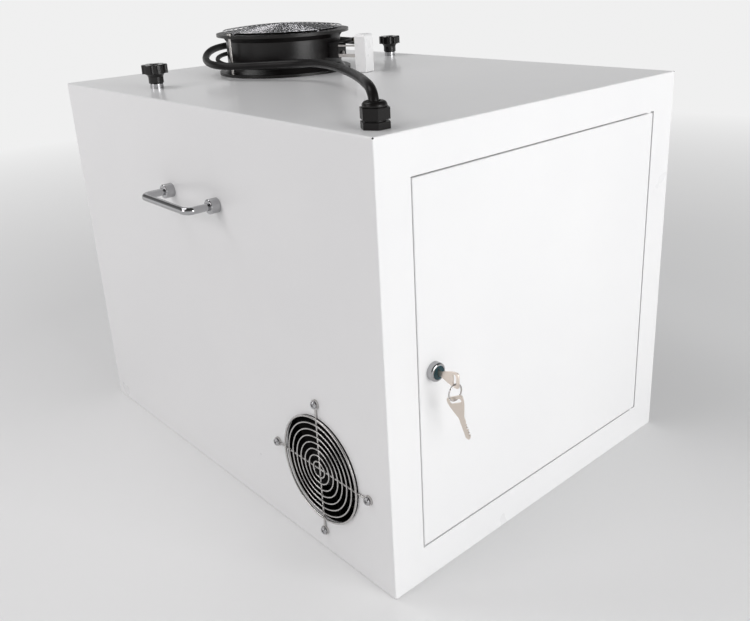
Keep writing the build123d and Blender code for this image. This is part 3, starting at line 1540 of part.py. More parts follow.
cable_points = [
    (gland_x, gland_y, top_z + gland_top - cable_seat),
    (gland_x, gland_y, top_z + gland_top + cable_rise),
    (-191.5, -261.5, 482),
    (-177, -238, 482.5),
    (-152, -203, 480.5),
    (-114, -142, 477.8),
    (-75, -65, 476),
    (-46, 12, 472),
    (-66, 64, 469),
    (-92, 106, 467),
    (-102, 132, 467.5),
    (-94, 166, 468.5),
    (-76, 202, 472),
    (-54, 224, 478),
    (-22, 244, 480),
    (30, 250, 480),
    (78, 224, 480),
    (108, 178, 480),
    (115, 124, 480),
    (106, 76, 482),
    (cable_last_corner.X, cable_last_corner.Y, cable_last_corner.Z),
    (cable_end.X, cable_end.Y, cable_end.Z),
]
fan_cable = cord_tube(cable_points, cable_radius, "fan_cable")
fan_cable.part.label = "fan_cable"
export_step(fan_cable.part, "parts/fan_cable.step")

lead_plane = exhaust_base.rotated((0, 0, lead_start_angle))
lead_start = lead_plane.from_local_coords((lead_boss_reach, 0, lead_level))
lead_first_corner = lead_plane.from_local_coords((lead_boss_reach + lead_first_run, 0, lead_level))
lead_end = pad_plane.from_local_coords((capacitor_near, lead_end_offset, capacitor_foot + lead_end_level))
lead_last_corner = lead_end - pad_plane.x_dir * lead_last_run

lead_points = [
    (lead_start.X, lead_start.Y, lead_start.Z),
    (lead_first_corner.X, lead_first_corner.Y, lead_first_corner.Z),
    (-62, 80, 464),
    (-75, 102, 464),
    (-82, 128, 465),
    (-80, 160, 467),
    (-66, 190, 470),
    (-42, 212, 472),
    (-8, 226, 472),
    (28, 226, 471),
    (60, 212, 470),
    (84, 186, 471),
    (96, 154, 474),
    (96, 118, 479),
    (84, 84, 485),
    (lead_last_corner.X, lead_last_corner.Y, lead_last_corner.Z),
    (lead_end.X, lead_end.Y, lead_end.Z),
]
fan_lead = cord_tube(lead_points, lead_radius, "fan_lead")
fan_lead.part.label = "fan_lead"
export_step(fan_lead.part, "parts/fan_lead.step")
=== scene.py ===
# %% [markdown]
# # A bench cabinet that cures printed parts
# The object is a white sheet-metal cabinet with a keyed door, a fan behind a wire guard in its side,
# a round fan on its top and two black star knobs. The solids come from a CAD model that is loaded
# below and stays as it is. This lesson adds what a CAD model lacks: finishes, and the small forms
# that catch the light. Everything is in metres, in the frame of that model.

# %% Load the solids
import bpy
import bmesh
import math
from mathutils import Matrix, Vector


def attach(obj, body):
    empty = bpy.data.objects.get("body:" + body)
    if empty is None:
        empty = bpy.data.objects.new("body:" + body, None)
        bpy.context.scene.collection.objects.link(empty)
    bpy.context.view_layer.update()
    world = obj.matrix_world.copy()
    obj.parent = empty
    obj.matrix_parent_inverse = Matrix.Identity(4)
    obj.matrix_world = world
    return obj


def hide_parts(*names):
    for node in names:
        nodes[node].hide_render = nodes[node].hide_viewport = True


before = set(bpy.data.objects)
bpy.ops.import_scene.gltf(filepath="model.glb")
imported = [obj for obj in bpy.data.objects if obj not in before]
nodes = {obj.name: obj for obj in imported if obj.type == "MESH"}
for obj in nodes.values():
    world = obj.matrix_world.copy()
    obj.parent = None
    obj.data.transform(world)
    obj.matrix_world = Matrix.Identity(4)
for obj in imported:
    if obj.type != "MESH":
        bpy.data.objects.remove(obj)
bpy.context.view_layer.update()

# %% [markdown]
# ## The camera
# The photograph looks down on the corner between the left side and the door, from close by, so the
# edges run together strongly. The camera's place and lens were worked out from the cabinet's seven
# visible corners. The three directions below are the picture's right, its up and the line of sight.

# %% Camera
picture_right = Vector((0.73920, -0.67205, -0.04410))
picture_up = Vector((0.26058, 0.22500, 0.93887))
line_of_sight = Vector((0.62104, 0.70550, -0.34144))
camera_place = Vector((-0.6358, -0.7783, 0.5757))

lens = bpy.data.cameras.new("camera")
lens.sensor_width = 36
lens.lens = 39.31
lens.shift_x = -0.0177
lens.shift_y = -0.0643
camera = bpy.data.objects.new("camera", lens)
turn = Matrix((picture_right, picture_up, -line_of_sight)).transposed().to_4x4()
camera.matrix_world = Matrix.Translation(camera_place) @ turn
bpy.context.scene.collection.objects.link(camera)
bpy.context.scene.camera = camera
print("camera at", camera_place[:], "lens", lens.lens)

# %% [markdown]
# ## The two cords
# A thick black cable leaves the gland at the front corner and lies over the top and round the fan.
# The photograph hides where it ends, and here that is the white capacitor. The fan's own thinner lead
# follows it inside. A flexible cord is one smooth curve, so each is a NURBS curve through the points
# of the CAD route. Only four points of the cable differ, by up to 12 mm, so that none of it shows to
# the right of the capacitor. The bevel is one unit round, and every point scales it by its own
# radius, which keeps the bounds of the curve true.

# %% Cord helper


def cord_curve(name, route, radius):
    """A smooth round cord through the space of a route's points."""
    curve = bpy.data.curves.new(name, "CURVE")
    curve.dimensions = "3D"
    curve.bevel_depth = 1.0
    curve.bevel_resolution = 5
    curve.resolution_u = 14
    curve.use_fill_caps = True
    line = curve.splines.new("NURBS")
    line.points.add(len(route) - 1)
    for point, place in zip(line.points, route):
        point.co = (*place, 1)
        point.radius = radius
    line.order_u = 3
    line.use_endpoint_u = True
    cord = bpy.data.objects.new(name, curve)
    bpy.context.scene.collection.objects.link(cord)
    return cord


# %% Fan cable
cable_radius = 0.0045
cable_route = [
    (-0.1970, -0.2720, 0.4605),
    (-0.1970, -0.2720, 0.4735),
    (-0.1915, -0.2615, 0.4820),
    (-0.1770, -0.2380, 0.4825),
    (-0.1520, -0.2030, 0.4805),
    (-0.1140, -0.1420, 0.4778),
    (-0.0750, -0.0650, 0.4760),
    (-0.0460, 0.0120, 0.4720),
    (-0.0660, 0.0640, 0.4690),
    (-0.0920, 0.1060, 0.4670),
    (-0.1020, 0.1320, 0.4675),
    (-0.0940, 0.1660, 0.4685),
    (-0.0760, 0.2020, 0.4720),
    (-0.0540, 0.2240, 0.4780),
    (-0.0220, 0.2440, 0.4800),
    (0.0300, 0.2500, 0.4800),
    (0.0780, 0.2240, 0.4800),
    (0.1060, 0.1780, 0.4800),
    (0.1100, 0.1240, 0.4790),
    (0.0945, 0.0770, 0.4800),
    (0.0715, 0.0385, 0.4825),
    (0.05667, 0.02790, 0.4825),
]
fan_cable = cord_curve("fan_cable_flex", cable_route, cable_radius)
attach(fan_cable, "cabinet")
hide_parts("fan_cable")
print("fan cable points", len(cable_route))

# %% Fan lead
lead_radius = 0.0028
lead_route = [
    (-0.04232, 0.08063, 0.4650),
    (-0.04939, 0.07221, 0.4650),
    (-0.0620, 0.0800, 0.4640),
    (-0.0750, 0.1020, 0.4640),
    (-0.0820, 0.1280, 0.4650),
    (-0.0800, 0.1600, 0.4670),
    (-0.0660, 0.1900, 0.4700),
    (-0.0420, 0.2120, 0.4720),
    (-0.0080, 0.2260, 0.4720),
    (0.0280, 0.2260, 0.4710),
    (0.0600, 0.2120, 0.4700),
    (0.0840, 0.1860, 0.4710),
    (0.0960, 0.1540, 0.4740),
    (0.0960, 0.1180, 0.4790),
    (0.0840, 0.0840, 0.4850),
    (0.04589, 0.04693, 0.4885),
    (0.05045, 0.03369, 0.4885),
]
fan_lead = cord_curve("fan_lead_flex", lead_route, lead_radius)
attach(fan_lead, "cabinet")
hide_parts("fan_lead")
print("fan lead points", len(lead_route))

# %% [markdown]
# ## Shader maths as Python
# A procedural material is a small sum: noise times a strength, plus a base value. It could be drawn
# as nodes one by one. Here a class wraps a socket and overloads Python's operators, so that an
# expression on values adds its Math nodes. Any other node comes from one method of the node sheet.
# A Mix node has a set of sockets for each type of data, and colours use the three named here.

# %% Wire and Sheet
mix_factor, mix_first, mix_second, mix_result = 0, 6, 7, 2


class Wire:
    """An output socket that can be used in Python sums."""

    def __init__(self, sheet, socket):
        self.sheet = sheet
        self.socket = socket

    def maths(self, operation, first, second):
        return self.sheet.node("ShaderNodeMath", {"operation": operation}, {0: first, 1: second})

    def __add__(self, other):
        return self.maths("ADD", self, other)

    def __radd__(self, other):
        return self.maths("ADD", other, self)

    def __rsub__(self, other):
        return self.maths("SUBTRACT", other, self)

    def __mul__(self, other):
        return self.maths("MULTIPLY", self, other)

    def __rmul__(self, other):
        return self.maths("MULTIPLY", other, self)


class Sheet:
    """A node tree that is drawn with Python."""

    def __init__(self, tree):
        self.tree = tree

    def node(self, kind, settings, inputs, output=0):
        """Adds a node with its settings, its inputs and the output that is wanted."""
        added = self.tree.nodes.new(kind)
        for name, value in settings.items():
            if name == "stops":
                while len(added.color_ramp.elements) < len(value):
                    added.color_ramp.elements.new(1.0)
                for element, (position, level) in zip(added.color_ramp.elements, value):
                    element.position = position
                    element.color = (level, level, level, 1)
            else:
                setattr(added, name, value)
        for name, value in inputs.items():
            if isinstance(value, Wire):
                self.tree.links.new(value.socket, added.inputs[name])
            else:
                added.inputs[name].default_value = value
        return Wire(self, added.outputs[output])

    def seen(self):
        """1 for rays from the camera and for those in mirrors and glass, 0 for soft light."""
        camera_ray = self.node("ShaderNodeLightPath", {}, {}, "Is Camera Ray")
        mirror_ray = self.node("ShaderNodeLightPath", {}, {}, "Is Glossy Ray")
        glass_ray = self.node("ShaderNodeLightPath", {}, {}, "Is Transmission Ray")
        return camera_ray + mirror_ray + glass_ray


# %% Finish


class Finish(Sheet):
    """A material, its shader and a short way to add nodes to it."""

    def __init__(self, name, color, roughness, metallic=0.0, **constants):
        self.material = bpy.data.materials.new(name)
        self.material.use_nodes = True
        super().__init__(self.material.node_tree)
        self.shader = self.tree.nodes["Principled BSDF"]
        self.set("Base Color", (*color, 1))
        self.set("Roughness", roughness)
        self.set("Metallic", metallic)
        for socket, value in constants.items():
            self.set(socket.replace("_", " "), value)
        self.place = self.node("ShaderNodeTexCoord", {}, {}, "Object")

    def set(self, socket, value):
        """Gives a socket of the shader a value or a link."""
        if isinstance(value, Wire):
            self.tree.links.new(value.socket, self.shader.inputs[socket])
        else:
            self.shader.inputs[socket].default_value = value

    def noise(self, scale, detail=3.0, stretch=(1, 1, 1)):
        """Noise in metres, from 0 to 1, finer along a stretched axis."""
        multiply = {"operation": "MULTIPLY"}
        place = self.node("ShaderNodeVectorMath", multiply, {0: self.place, 1: stretch})
        inputs = {"Vector": place, "Scale": scale, "Detail": detail}
        return self.node("ShaderNodeTexNoise", {}, inputs)

    def ramp(self, value, low, high):
        """0 below low, 1 above high."""
        return self.node("ShaderNodeValToRGB", {"stops": ((low, 0.0), (high, 1.0))}, {0: value})

    def blend(self, mask, first, second):
        """A colour between two."""
        inputs = {mix_factor: mask, mix_first: (*first, 1), mix_second: (*second, 1)}
        return self.node("ShaderNodeMix", {"data_type": "RGBA"}, inputs, mix_result)

    def bump(self, height, strength, distance):
        """Tilts the light on the surface as if it rose and fell by a height."""
        inputs = {"Strength": strength, "Distance": distance, "Height": height}
        self.set("Normal", self.node("ShaderNodeBump", {}, inputs))


# %% [markdown]
# ## Light
# A large soft lamp from the front right makes the door the brightest face, and a weaker one from the
# left leaves the side a light grey. A third one over the rear lifts the top plate. The room gives an
# even fill. The camera sees a plain pale wall, and mirrors see it darken towards the ceiling, so that
# chrome gets dark bands and the top plate stays calmer than the door.

# %% Lamps


def soft_lamp(name, place, target, size, power, tint):
    """A large square lamp that faces a point: metres and watts."""
    light = bpy.data.lights.new(name, "AREA")
    light.color = tint
    light.shape = "SQUARE"
    light.size = size
    light.energy = power
    lamp = bpy.data.objects.new(name, light)
    aim = (Vector(target) - Vector(place)).to_track_quat("-Z", "Y")
    lamp.matrix_world = Matrix.Translation(place) @ aim.to_matrix().to_4x4()
    bpy.context.scene.collection.objects.link(lamp)


middle = (0, 0, 0.25)
soft_lamp("front_lamp", (0.25, -2.6, 0.9), middle, 1.5, 39, (1.0, 1.0, 1.0))
soft_lamp("left_lamp", (-2.8, 0.5, 1.4), middle, 1.3, 18, (1.0, 0.96, 0.965))
soft_lamp("top_lamp", (-0.9, 1.2, 2.4), middle, 1.2, 17, (1.0, 1.0, 1.0))
print("three lamps")

# %% World
wall_level, fill_level = 0.87, 0.42
# Each band is a height, as the upward part of a ray's direction, and its brightness.
wall_bands = ((0.0, wall_level), (0.10, wall_level), (0.15, 0.36), (0.36, 0.20), (0.8, 0.07))
world = bpy.data.worlds.new("soft_room")
world.use_nodes = True
room = Sheet(world.node_tree)
room.tree.nodes.clear()
direction = room.node("ShaderNodeTexCoord", {}, {}, "Generated")
height = room.node("ShaderNodeSeparateXYZ", {}, {0: direction}, "Z")
wall = room.node("ShaderNodeValToRGB", {"stops": wall_bands}, {0: height})
fill_inputs = {"Color": (0.99, 0.99, 1.0, 1), "Strength": fill_level}
fill = room.node("ShaderNodeBackground", {}, fill_inputs)
camera_ray = room.node("ShaderNodeLightPath", {}, {}, "Is Camera Ray")
plain_wall = wall + camera_ray * (wall_level - wall)
view = room.node("ShaderNodeBackground", {}, {"Color": plain_wall, "Strength": 1.0})
mixed = room.node("ShaderNodeMixShader", {}, {0: room.seen(), 1: fill, 2: view})
room_out = room.tree.nodes.new("ShaderNodeOutputWorld")
room.tree.links.new(mixed.socket, room_out.inputs[0])
bpy.context.scene.world = world
bpy.context.scene.view_settings.view_transform = "Standard"
print("world set")

# %% [markdown]
# ## Floor
# The cabinet stands on a plain pale floor. Near the object it is a matt surface that takes the soft
# shadow. Further out it fades into the colour of the wall, so that no horizon line shows. The fade is
# a Mix Shader whose factor grows with the distance, and it counts for seen rays only.

# %% Floor
floor_half = 9.0
fade_start, fade_end = 0.7, 2.4
floor_corners = [
    (-floor_half, -floor_half, 0),
    (floor_half, -floor_half, 0),
    (floor_half, floor_half, 0),
    (-floor_half, floor_half, 0),
]
floor_mesh = bpy.data.meshes.new("studio_floor")
floor_mesh.from_pydata(floor_corners, [], [(0, 1, 2, 3)])
floor = bpy.data.objects.new("studio_floor", floor_mesh)
bpy.context.scene.collection.objects.link(floor)

ground = Finish("pale_floor", (0.80, 0.80, 0.80), 0.8)
worn, clean = (0.785, 0.785, 0.785), (0.815, 0.815, 0.815)
ground.set("Base Color", ground.blend(ground.noise(1.2), worn, clean))
ground.bump(ground.noise(60.0), 0.03, 0.0006)
length = {"operation": "LENGTH"}
distance = ground.node("ShaderNodeVectorMath", length, {0: ground.place}, "Value")
fade = {"Value": distance, "From Min": fade_start, "From Max": fade_end}
far = ground.node("ShaderNodeMapRange", {}, fade)
haze = ground.node("ShaderNodeEmission", {}, {"Color": (wall_level, wall_level, wall_level, 1)})
matt = Wire(ground, ground.shader.outputs[0])
faded = ground.node("ShaderNodeMixShader", {}, {0: far * ground.seen(), 1: matt, 2: haze})
ground_out = ground.tree.nodes["Material Output"]
ground.tree.links.new(faded.socket, ground_out.inputs["Surface"])
floor_mesh.materials.append(ground.material)
print("floor", 2 * floor_half, "m wide")

# %% [markdown]
# ## Powder coat
# The sheet metal is sprayed with a white powder that melts into a hard skin. Its surface is a faint
# orange peel: very shallow ripples, a few millimetres across, under an even gloss. Handling leaves
# pale cloudy patches. So the bump is weak noise at 260 per metre, and colour, roughness and the clear
# coat get large soft noise with little contrast.

# %% White coat
coat = Finish(
    "white_powder_coat",
    (0.82, 0.82, 0.825),
    0.28,
    Coat_Roughness=0.10,
    Specular_IOR_Level=0.32,
)
cloud = coat.ramp(coat.noise(5.0, 4.0), 0.3, 0.7)
coat.set("Base Color", coat.blend(cloud, (0.805, 0.805, 0.810), (0.835, 0.834, 0.836)))
coat.set("Roughness", 0.27 + 0.05 * cloud)
coat.set("Coat Weight", 0.20 + 0.10 * cloud)
coat.bump(coat.noise(260.0, 1.0), 0.02, 0.0002)
white_coat = coat.material
print("powder coat ready")

# %% [markdown]
# ## Black finishes
# The top fan's housing is cast aluminium, painted satin black, with a slightly pebbled skin. The
# gland is moulded plastic with a fine spark-eroded grain, and the star knobs are the same plastic
# from a polished mould. The rotors and the side fan are black matt plastic with painted shade: their
# colour and shine are set far below the other blacks, so that what lies behind the guards stays
# dark. The cables have a smooth rubbery sheath.

# %% Cast, plastic and sheath


def black_finish(name, low, high, rough, spread, grain, strength, shine):
    """A near-black surface: cloudy warm colour, uneven gloss and a fine grain."""
    made = Finish(name, (high, high, high), rough, Specular_IOR_Level=shine)
    dark = (low, 0.8 * low, 0.8 * low)
    light = (high, 0.85 * high, 0.85 * high)
    made.set("Base Color", made.blend(made.noise(40.0), dark, light))
    made.set("Roughness", rough + spread * made.noise(80.0))
    made.bump(made.noise(grain, 3.0), strength, 0.0004)
    return made.material


# Columns: darkest, lightest, roughness and its spread, grain per metre and its strength, shine.
black_rows = {
    "satin_black_casting": (0.003, 0.007, 0.24, 0.16, 420.0, 0.20, 0.32),
    "black_moulded_plastic": (0.003, 0.008, 0.28, 0.14, 1500.0, 0.12, 0.26),
    "black_knob_plastic": (0.003, 0.007, 0.14, 0.10, 900.0, 0.05, 0.40),
    "black_cable_sheath": (0.003, 0.008, 0.28, 0.16, 500.0, 0.10, 0.18),
    # The fan row is darker and duller than black plastic alone, because it carries painted shade for
    # the inside of the fans.
    "fan_plastic_and_painted_shade": (0.001, 0.003, 0.50, 0.14, 1500.0, 0.10, 0.08),
}
black_cast, black_plastic, knob_plastic, cable_sheath, fan_black_and_shade = (
    black_finish(name, *values) for name, values in black_rows.items()
)
print("black finishes ready")

# %% [markdown]
# ## Bright metals
# Chrome handles and screws are mirrors with a little haze. Thin wire is drawn before it is plated,
# so its skin is wavy and the light on it breaks into specks, most of all on the top fan's guard. Zinc
# plate is duller, with fine brushed lines. The chamber is lined with rolled bright aluminium. The
# keys are nickel, which is warmer. All are metallic, and differ in roughness, in how the noise is
# stretched and in how deep its lines are.

# %% Metals


def metal(name, color, roughness, spread, stretch, strength, scale=220.0, depth=0.0003):
    """A bare metal whose haze and fine lines follow a stretched noise."""
    made = Finish(name, color, roughness, 1.0)
    lines = made.noise(scale, 5.0, stretch)
    darker = tuple(0.85 * value for value in color)
    made.set("Base Color", made.blend(made.noise(30.0), darker, color))
    made.set("Roughness", roughness + spread * lines)
    made.bump(lines, strength, depth)
    return made.material


# Columns: colour, roughness and its spread, stretch, strength, lines per metre and their depth.
even, upright, lengthwise, rolled = (1, 1, 1), (1, 1, 6), (1, 5, 1), (6, 0.4, 6)
metal_rows = {
    "polished_chrome": ((0.48, 0.48, 0.49), 0.05, 0.07, even, 0.03),
    "drawn_wire_chrome": ((0.60, 0.585, 0.575), 0.16, 0.16, even, 0.8, 330.0),
    "specked_wire_chrome": ((0.58, 0.58, 0.60), 0.08, 0.08, even, 1.0, 190.0, 0.0022),
    "zinc_plate": ((0.46, 0.445, 0.43), 0.26, 0.16, upright, 0.10),
    "nickel_plate": ((0.87, 0.78, 0.70), 0.24, 0.16, lengthwise, 0.10),
    "rolled_aluminium": ((0.80, 0.80, 0.82), 0.16, 0.14, rolled, 0.04),
}
chrome, wire_chrome, specked_chrome, zinc, nickel, liner = (
    metal(name, *values) for name, values in metal_rows.items()
)
print("metals ready")

# %% [markdown]
# ## Pale plastics, rubber and glass
# The capacitor, the lamp's ends and the interlock are pale mouldings. The ballast and the terminal
# strip are grey. The lamp's tube is clear glass with the faint violet of a lamp that is off. The door
# seal is foam rubber with open pores.

# %% Pale plastics


def moulding(name, color, roughness):
    """A pale moulded plastic with a faint grain."""
    made = Finish(name, color, roughness)
    speck = made.noise(70.0, 4.0)
    darker = tuple(0.93 * value for value in color)
    made.set("Base Color", made.blend(speck, darker, color))
    made.set("Roughness", roughness - 0.06 + 0.14 * speck)
    made.bump(made.noise(1100.0, 2.0), 0.06, 0.0003)
    return made.material


white_plastic = moulding("white_moulding", (0.90, 0.90, 0.90), 0.28)
grey_plastic = moulding("grey_moulding", (0.33, 0.34, 0.36), 0.42)
olive_sleeve = moulding("olive_sleeve", (0.20, 0.19, 0.12), 0.45)
# Not a plastic: this dark finish is painted shade. It stands for the shade inside screw recesses,
# slots, the keyway and the corner reliefs, and is laid on as thin plates and domes.
shadow_line = moulding("painted_recess_shade", (0.012, 0.012, 0.013), 0.60)

# %% Rubber, glass and lock face
foam = Finish("foam_seal", (0.02, 0.02, 0.02), 0.85)
pore, skin = (0.012, 0.012, 0.012), (0.035, 0.035, 0.035)
foam.set("Base Color", foam.blend(foam.noise(400.0), pore, skin))
foam.bump(foam.noise(900.0, 4.0), 0.5, 0.0008)
seal_foam = foam.material

glass = Finish("lamp_glass", (0.86, 0.86, 0.97), 0.04, Transmission_Weight=0.85, IOR=1.46)
glass.set("Roughness", 0.03 + 0.10 * glass.noise(60.0))
lamp_glass = glass.material

# The lock's face is lacquered dark teal. The rest of the plug is bare steel inside the barrel.
teal = Finish("lock_face_lacquer", (0.003, 0.035, 0.045), 0.22)
face = teal.ramp(teal.noise(160.0), 0.3, 0.8)
teal.set("Base Color", teal.blend(face, (0.002, 0.022, 0.030), (0.006, 0.065, 0.080)))
teal.set("Roughness", 0.14 + 0.20 * face)
teal.bump(teal.noise(700.0), 0.08, 0.0003)
lock_lacquer = teal.material
print("pale finishes ready")

# %% [markdown]
# ## Dressing the solids
# Most solids already have the right shape, so they only need their finish. One table says which.

# %% Finish of each solid
finish_of = {
    white_coat: "cabinet_wrap front_frame base_panel rear_panel door_skin",
    liner: "chamber_liner liner_back intake_grille door_back_panel reflector_hood turntable",
    zinc: "liner_rails rear_panel_screws hinge_blocks hinge_pins lock_nut lock_cam handle_screws "
    "exhaust_tie_bolts capacitor_bracket terminal_screws lamp_carrier turntable_shaft "
    "turntable_motor",
    chrome: "lock_body guard_screws handle_left handle_right handle_ferrules knob_collars",
    wire_chrome: "side_fan_guard",
    specked_chrome: "exhaust_fan_guard",
    nickel: "key key_ring spare_key",
    fan_black_and_shade: "side_fan_frame side_fan_rotor exhaust_fan_rotor",
    black_plastic: "gland_body gland_nut gland_locknut mains_inlet switch_housing switch_rocker",
    knob_plastic: "star_knob_left star_knob_right",
    black_cast: "exhaust_fan_housing",
    white_plastic: "hinge_washers run_capacitor lamp_holders interlock_sensor interlock_magnet",
    grey_plastic: "lamp_ballast terminal_block",
    seal_foam: "door_gasket",
    cable_sheath: "fan_cable fan_lead",
    lamp_glass: "uv_lamp",
    lock_lacquer: "lock_plug",
}
dressed = 0
for material, names in finish_of.items():
    for name in names.split():
        for slot in nodes[name].material_slots:
            slot.material = material
        dressed += 1
fan_cable.data.materials.append(cable_sheath)
fan_lead.data.materials.append(cable_sheath)
print("dressed", dressed, "of", len(nodes))

# %% [markdown]
# ## Helpers for small forms
# The small forms are of three kinds. Turned ones are a half profile spun about an axis, which bmesh
# does in one call. Flat ones, such as a key, are an outline with holes: a 2D curve fills it, and its
# bevel breaks the sharp edges. Bent wire is a curve with a round bevel. Each result becomes a plain
# mesh that rides on the body it belongs to.

# %% Placing a mesh


def settle(name, mesh, material, body):
    """Puts a finished mesh in the scene, with its finish, on its body."""
    mesh.materials.clear()
    mesh.materials.append(material)
    for polygon in mesh.polygons:
        polygon.use_smooth = True
        polygon.material_index = 0
    mesh.set_sharp_from_angle(angle=math.radians(32))
    piece = bpy.data.objects.new(name, mesh)
    bpy.context.scene.collection.objects.link(piece)
    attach(piece, body)
    return piece


def from_curve(name, curve, frame_of_curve):
    """The mesh of a curve, moved into its place."""
    shape = bpy.data.objects.new(name + "_curve", curve)
    bpy.context.scene.collection.objects.link(shape)
    bpy.context.view_layer.update()
    graph = bpy.context.evaluated_depsgraph_get()
    mesh = bpy.data.meshes.new_from_object(shape.evaluated_get(graph))
    bpy.data.objects.remove(shape)
    mesh.name = name
    mesh.transform(frame_of_curve)
    return mesh


# %% Turned, flat and wire forms
mm = 0.001
to_top, to_front, to_rear, to_left = (0, 0, 1), (0, -1, 0), (0, 1, 0), (-1, 0, 0)


def turned(name, profile, centre, axis, material, body):
    """Spins a profile of (reach, height) in mm about an axis through a centre in mm."""
    work = bmesh.new()
    corners = [work.verts.new((reach * mm, 0, rise * mm)) for reach, rise in profile]
    edges = [work.edges.new(pair) for pair in zip(corners, corners[1:])]
    bmesh.ops.spin(
        work,
        geom=corners + edges,
        cent=(0, 0, 0),
        axis=(0, 0, 1),
        angle=math.tau,
        steps=48,
        use_merge=True,
    )
    bmesh.ops.remove_doubles(work, verts=work.verts, dist=1e-7)
    bmesh.ops.recalc_face_normals(work, faces=work.faces)
    mesh = bpy.data.meshes.new(name)
    work.to_mesh(mesh)
    work.free()
    tilt = Vector(axis).to_track_quat("Z", "Y").to_matrix().to_4x4()
    mesh.transform(Matrix.Translation(Vector(centre) * mm) @ tilt)
    return settle(name, mesh, material, body)


def flat(name, outlines, thickness, edge, place, material, body):
    """A plate from closed outlines in mm, centred on a plane and with softened edges."""
    curve = bpy.data.curves.new(name, "CURVE")
    curve.dimensions = "2D"
    curve.fill_mode = "BOTH"
    curve.extrude = (thickness / 2 - edge) * mm
    curve.bevel_depth = edge * mm
    curve.bevel_resolution = 1
    curve.offset = -edge * mm
    for outline in outlines:
        line = curve.splines.new("POLY")
        line.points.add(len(outline) - 1)
        for point, (across, along) in zip(line.points, outline):
            point.co = (across * mm, along * mm, 0, 1)
        line.use_cyclic_u = True
    return settle(name, from_curve(name, curve, place), material, body)


def wire(name, route, radius, closed, material, body):
    """Round wire along points in mm."""
    curve = bpy.data.curves.new(name, "CURVE")
    curve.dimensions = "3D"
    curve.bevel_depth = radius * mm
    curve.bevel_resolution = 4
    curve.use_fill_caps = True
    line = curve.splines.new("POLY")
    line.points.add(len(route) - 1)
    for point, place in zip(line.points, route):
        point.co = (*(Vector(place) * mm), 1)
    line.use_cyclic_u = closed
    return settle(name, from_curve(name, curve, Matrix.Identity(4)), material, body)


def facing(centre, normal, upward):
    """A frame in mm whose Z looks along a normal and whose Y leans to upward."""
    z = Vector(normal).normalized()
    x = Vector(upward).cross(z).normalized()
    turn = Matrix((x, z.cross(x), z)).transposed().to_4x4()
    return Matrix.Translation(Vector(centre) * mm) @ turn


print("helpers ready")

# %% [markdown]
# ## Keys and ring
# Both keys are stamped from 1.8 mm nickel-plated brass: a bow with softened corners and a slot, a
# waist, and a blade that is cut to a row of notches. A profile drawn point by point gives the notches
# and the rounded stamping edge, which the plain solid lacks. The ring is spring wire wound twice, so
# it is a short helix.

# %% Key outline
key_thickness, stamped_edge = 1.8, 0.22
key_blade, spare_blade = 28.4, 22.5
bow_length = 22.0
bow_halves = [
    (0, 5.8),
    (0.6, 7.0),
    (2.2, 7.8),
    (5.5, 7.7),
    (9, 7.0),
    (13, 5.7),
    (16, 4.7),
    (19, 3.6),
    (21, 2.9),
    (22, 2.6),
]
notch_depths = (0.9, 1.8, 1.2, 2.1, 1.5, 0.8)
notch_pitch = 2.7
blade_half = 2.6


def key_outline(blade_length):
    """A key's outline in mm, from the bow's end to the tip, notched on one side."""
    tip = bow_length + blade_length
    near = [(along, -half) for along, half in bow_halves]
    near += [(tip - 2.2, -blade_half), (tip, -0.9), (tip, 0.3)]
    far_side = [(tip - 1.2, 1.5)]
    for number, depth in enumerate(notch_depths):
        end = tip - 1.6 - number * notch_pitch
        floor_level = blade_half - depth
        far_side += [(end, 1.9), (end - 0.6, floor_level)]
        far_side += [(end - 1.4, floor_level), (end - 2.1, blade_half)]
    return near + far_side + [(along, half) for along, half in reversed(bow_halves)]


def key_slot():
    """The rounded slot across the bow, in mm."""
    centre, half_length, half_width = 5.0, 3.5, 2.0
    ends = []
    for side, start in ((1, 0), (-1, 180)):
        for step in range(0, 181, 20):
            angle = math.radians(start + step)
            across = side * half_length + half_width * math.sin(angle)
            ends.append((centre + half_width * math.cos(angle), across))
    return ends


def stamped_key(name, blade_length, place, body):
    """A nickel-plated key on its body."""
    outlines = [key_outline(blade_length), key_slot()]
    return flat(name, outlines, key_thickness, stamped_edge, place, nickel, body)


print("key outline points", len(key_outline(spare_blade)))

# %% Both keys
lock_x, lock_z, bow_end_y = -165.5, 225.0, -331.5
into_lock = Matrix(((0, 0, 1), (1, 0, 0), (0, 1, 0))).to_4x4()
key_frame = Matrix.Translation(Vector((lock_x, bow_end_y, lock_z)) * mm) @ into_lock
key_piece = stamped_key("key_stamping", key_blade, key_frame, "key")
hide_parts("key")

# The spare key hangs from the ring's lowest point, turned from the door and leaning out.
ring_y, ring_bottom_z, rim = -326.5, 204.5, 4.0
spare_turn, spare_lean = math.radians(30), math.radians(18)
across = Vector((math.sin(spare_turn), -math.cos(spare_turn), 0))
normal = Vector((-math.cos(spare_turn), -math.sin(spare_turn), 0))
along = Vector((0, 0, -1)) * math.cos(spare_lean) + across * math.sin(spare_lean)
ring_bottom = Vector((lock_x, ring_y, ring_bottom_z))
hanging = Matrix((along, normal.cross(along), normal)).transposed().to_4x4()
spare_frame = Matrix.Translation((ring_bottom - along * rim) * mm) @ hanging
spare_piece = stamped_key("spare_key_stamping", spare_blade, spare_frame, "spare_key")
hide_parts("spare_key")
print("two keys")

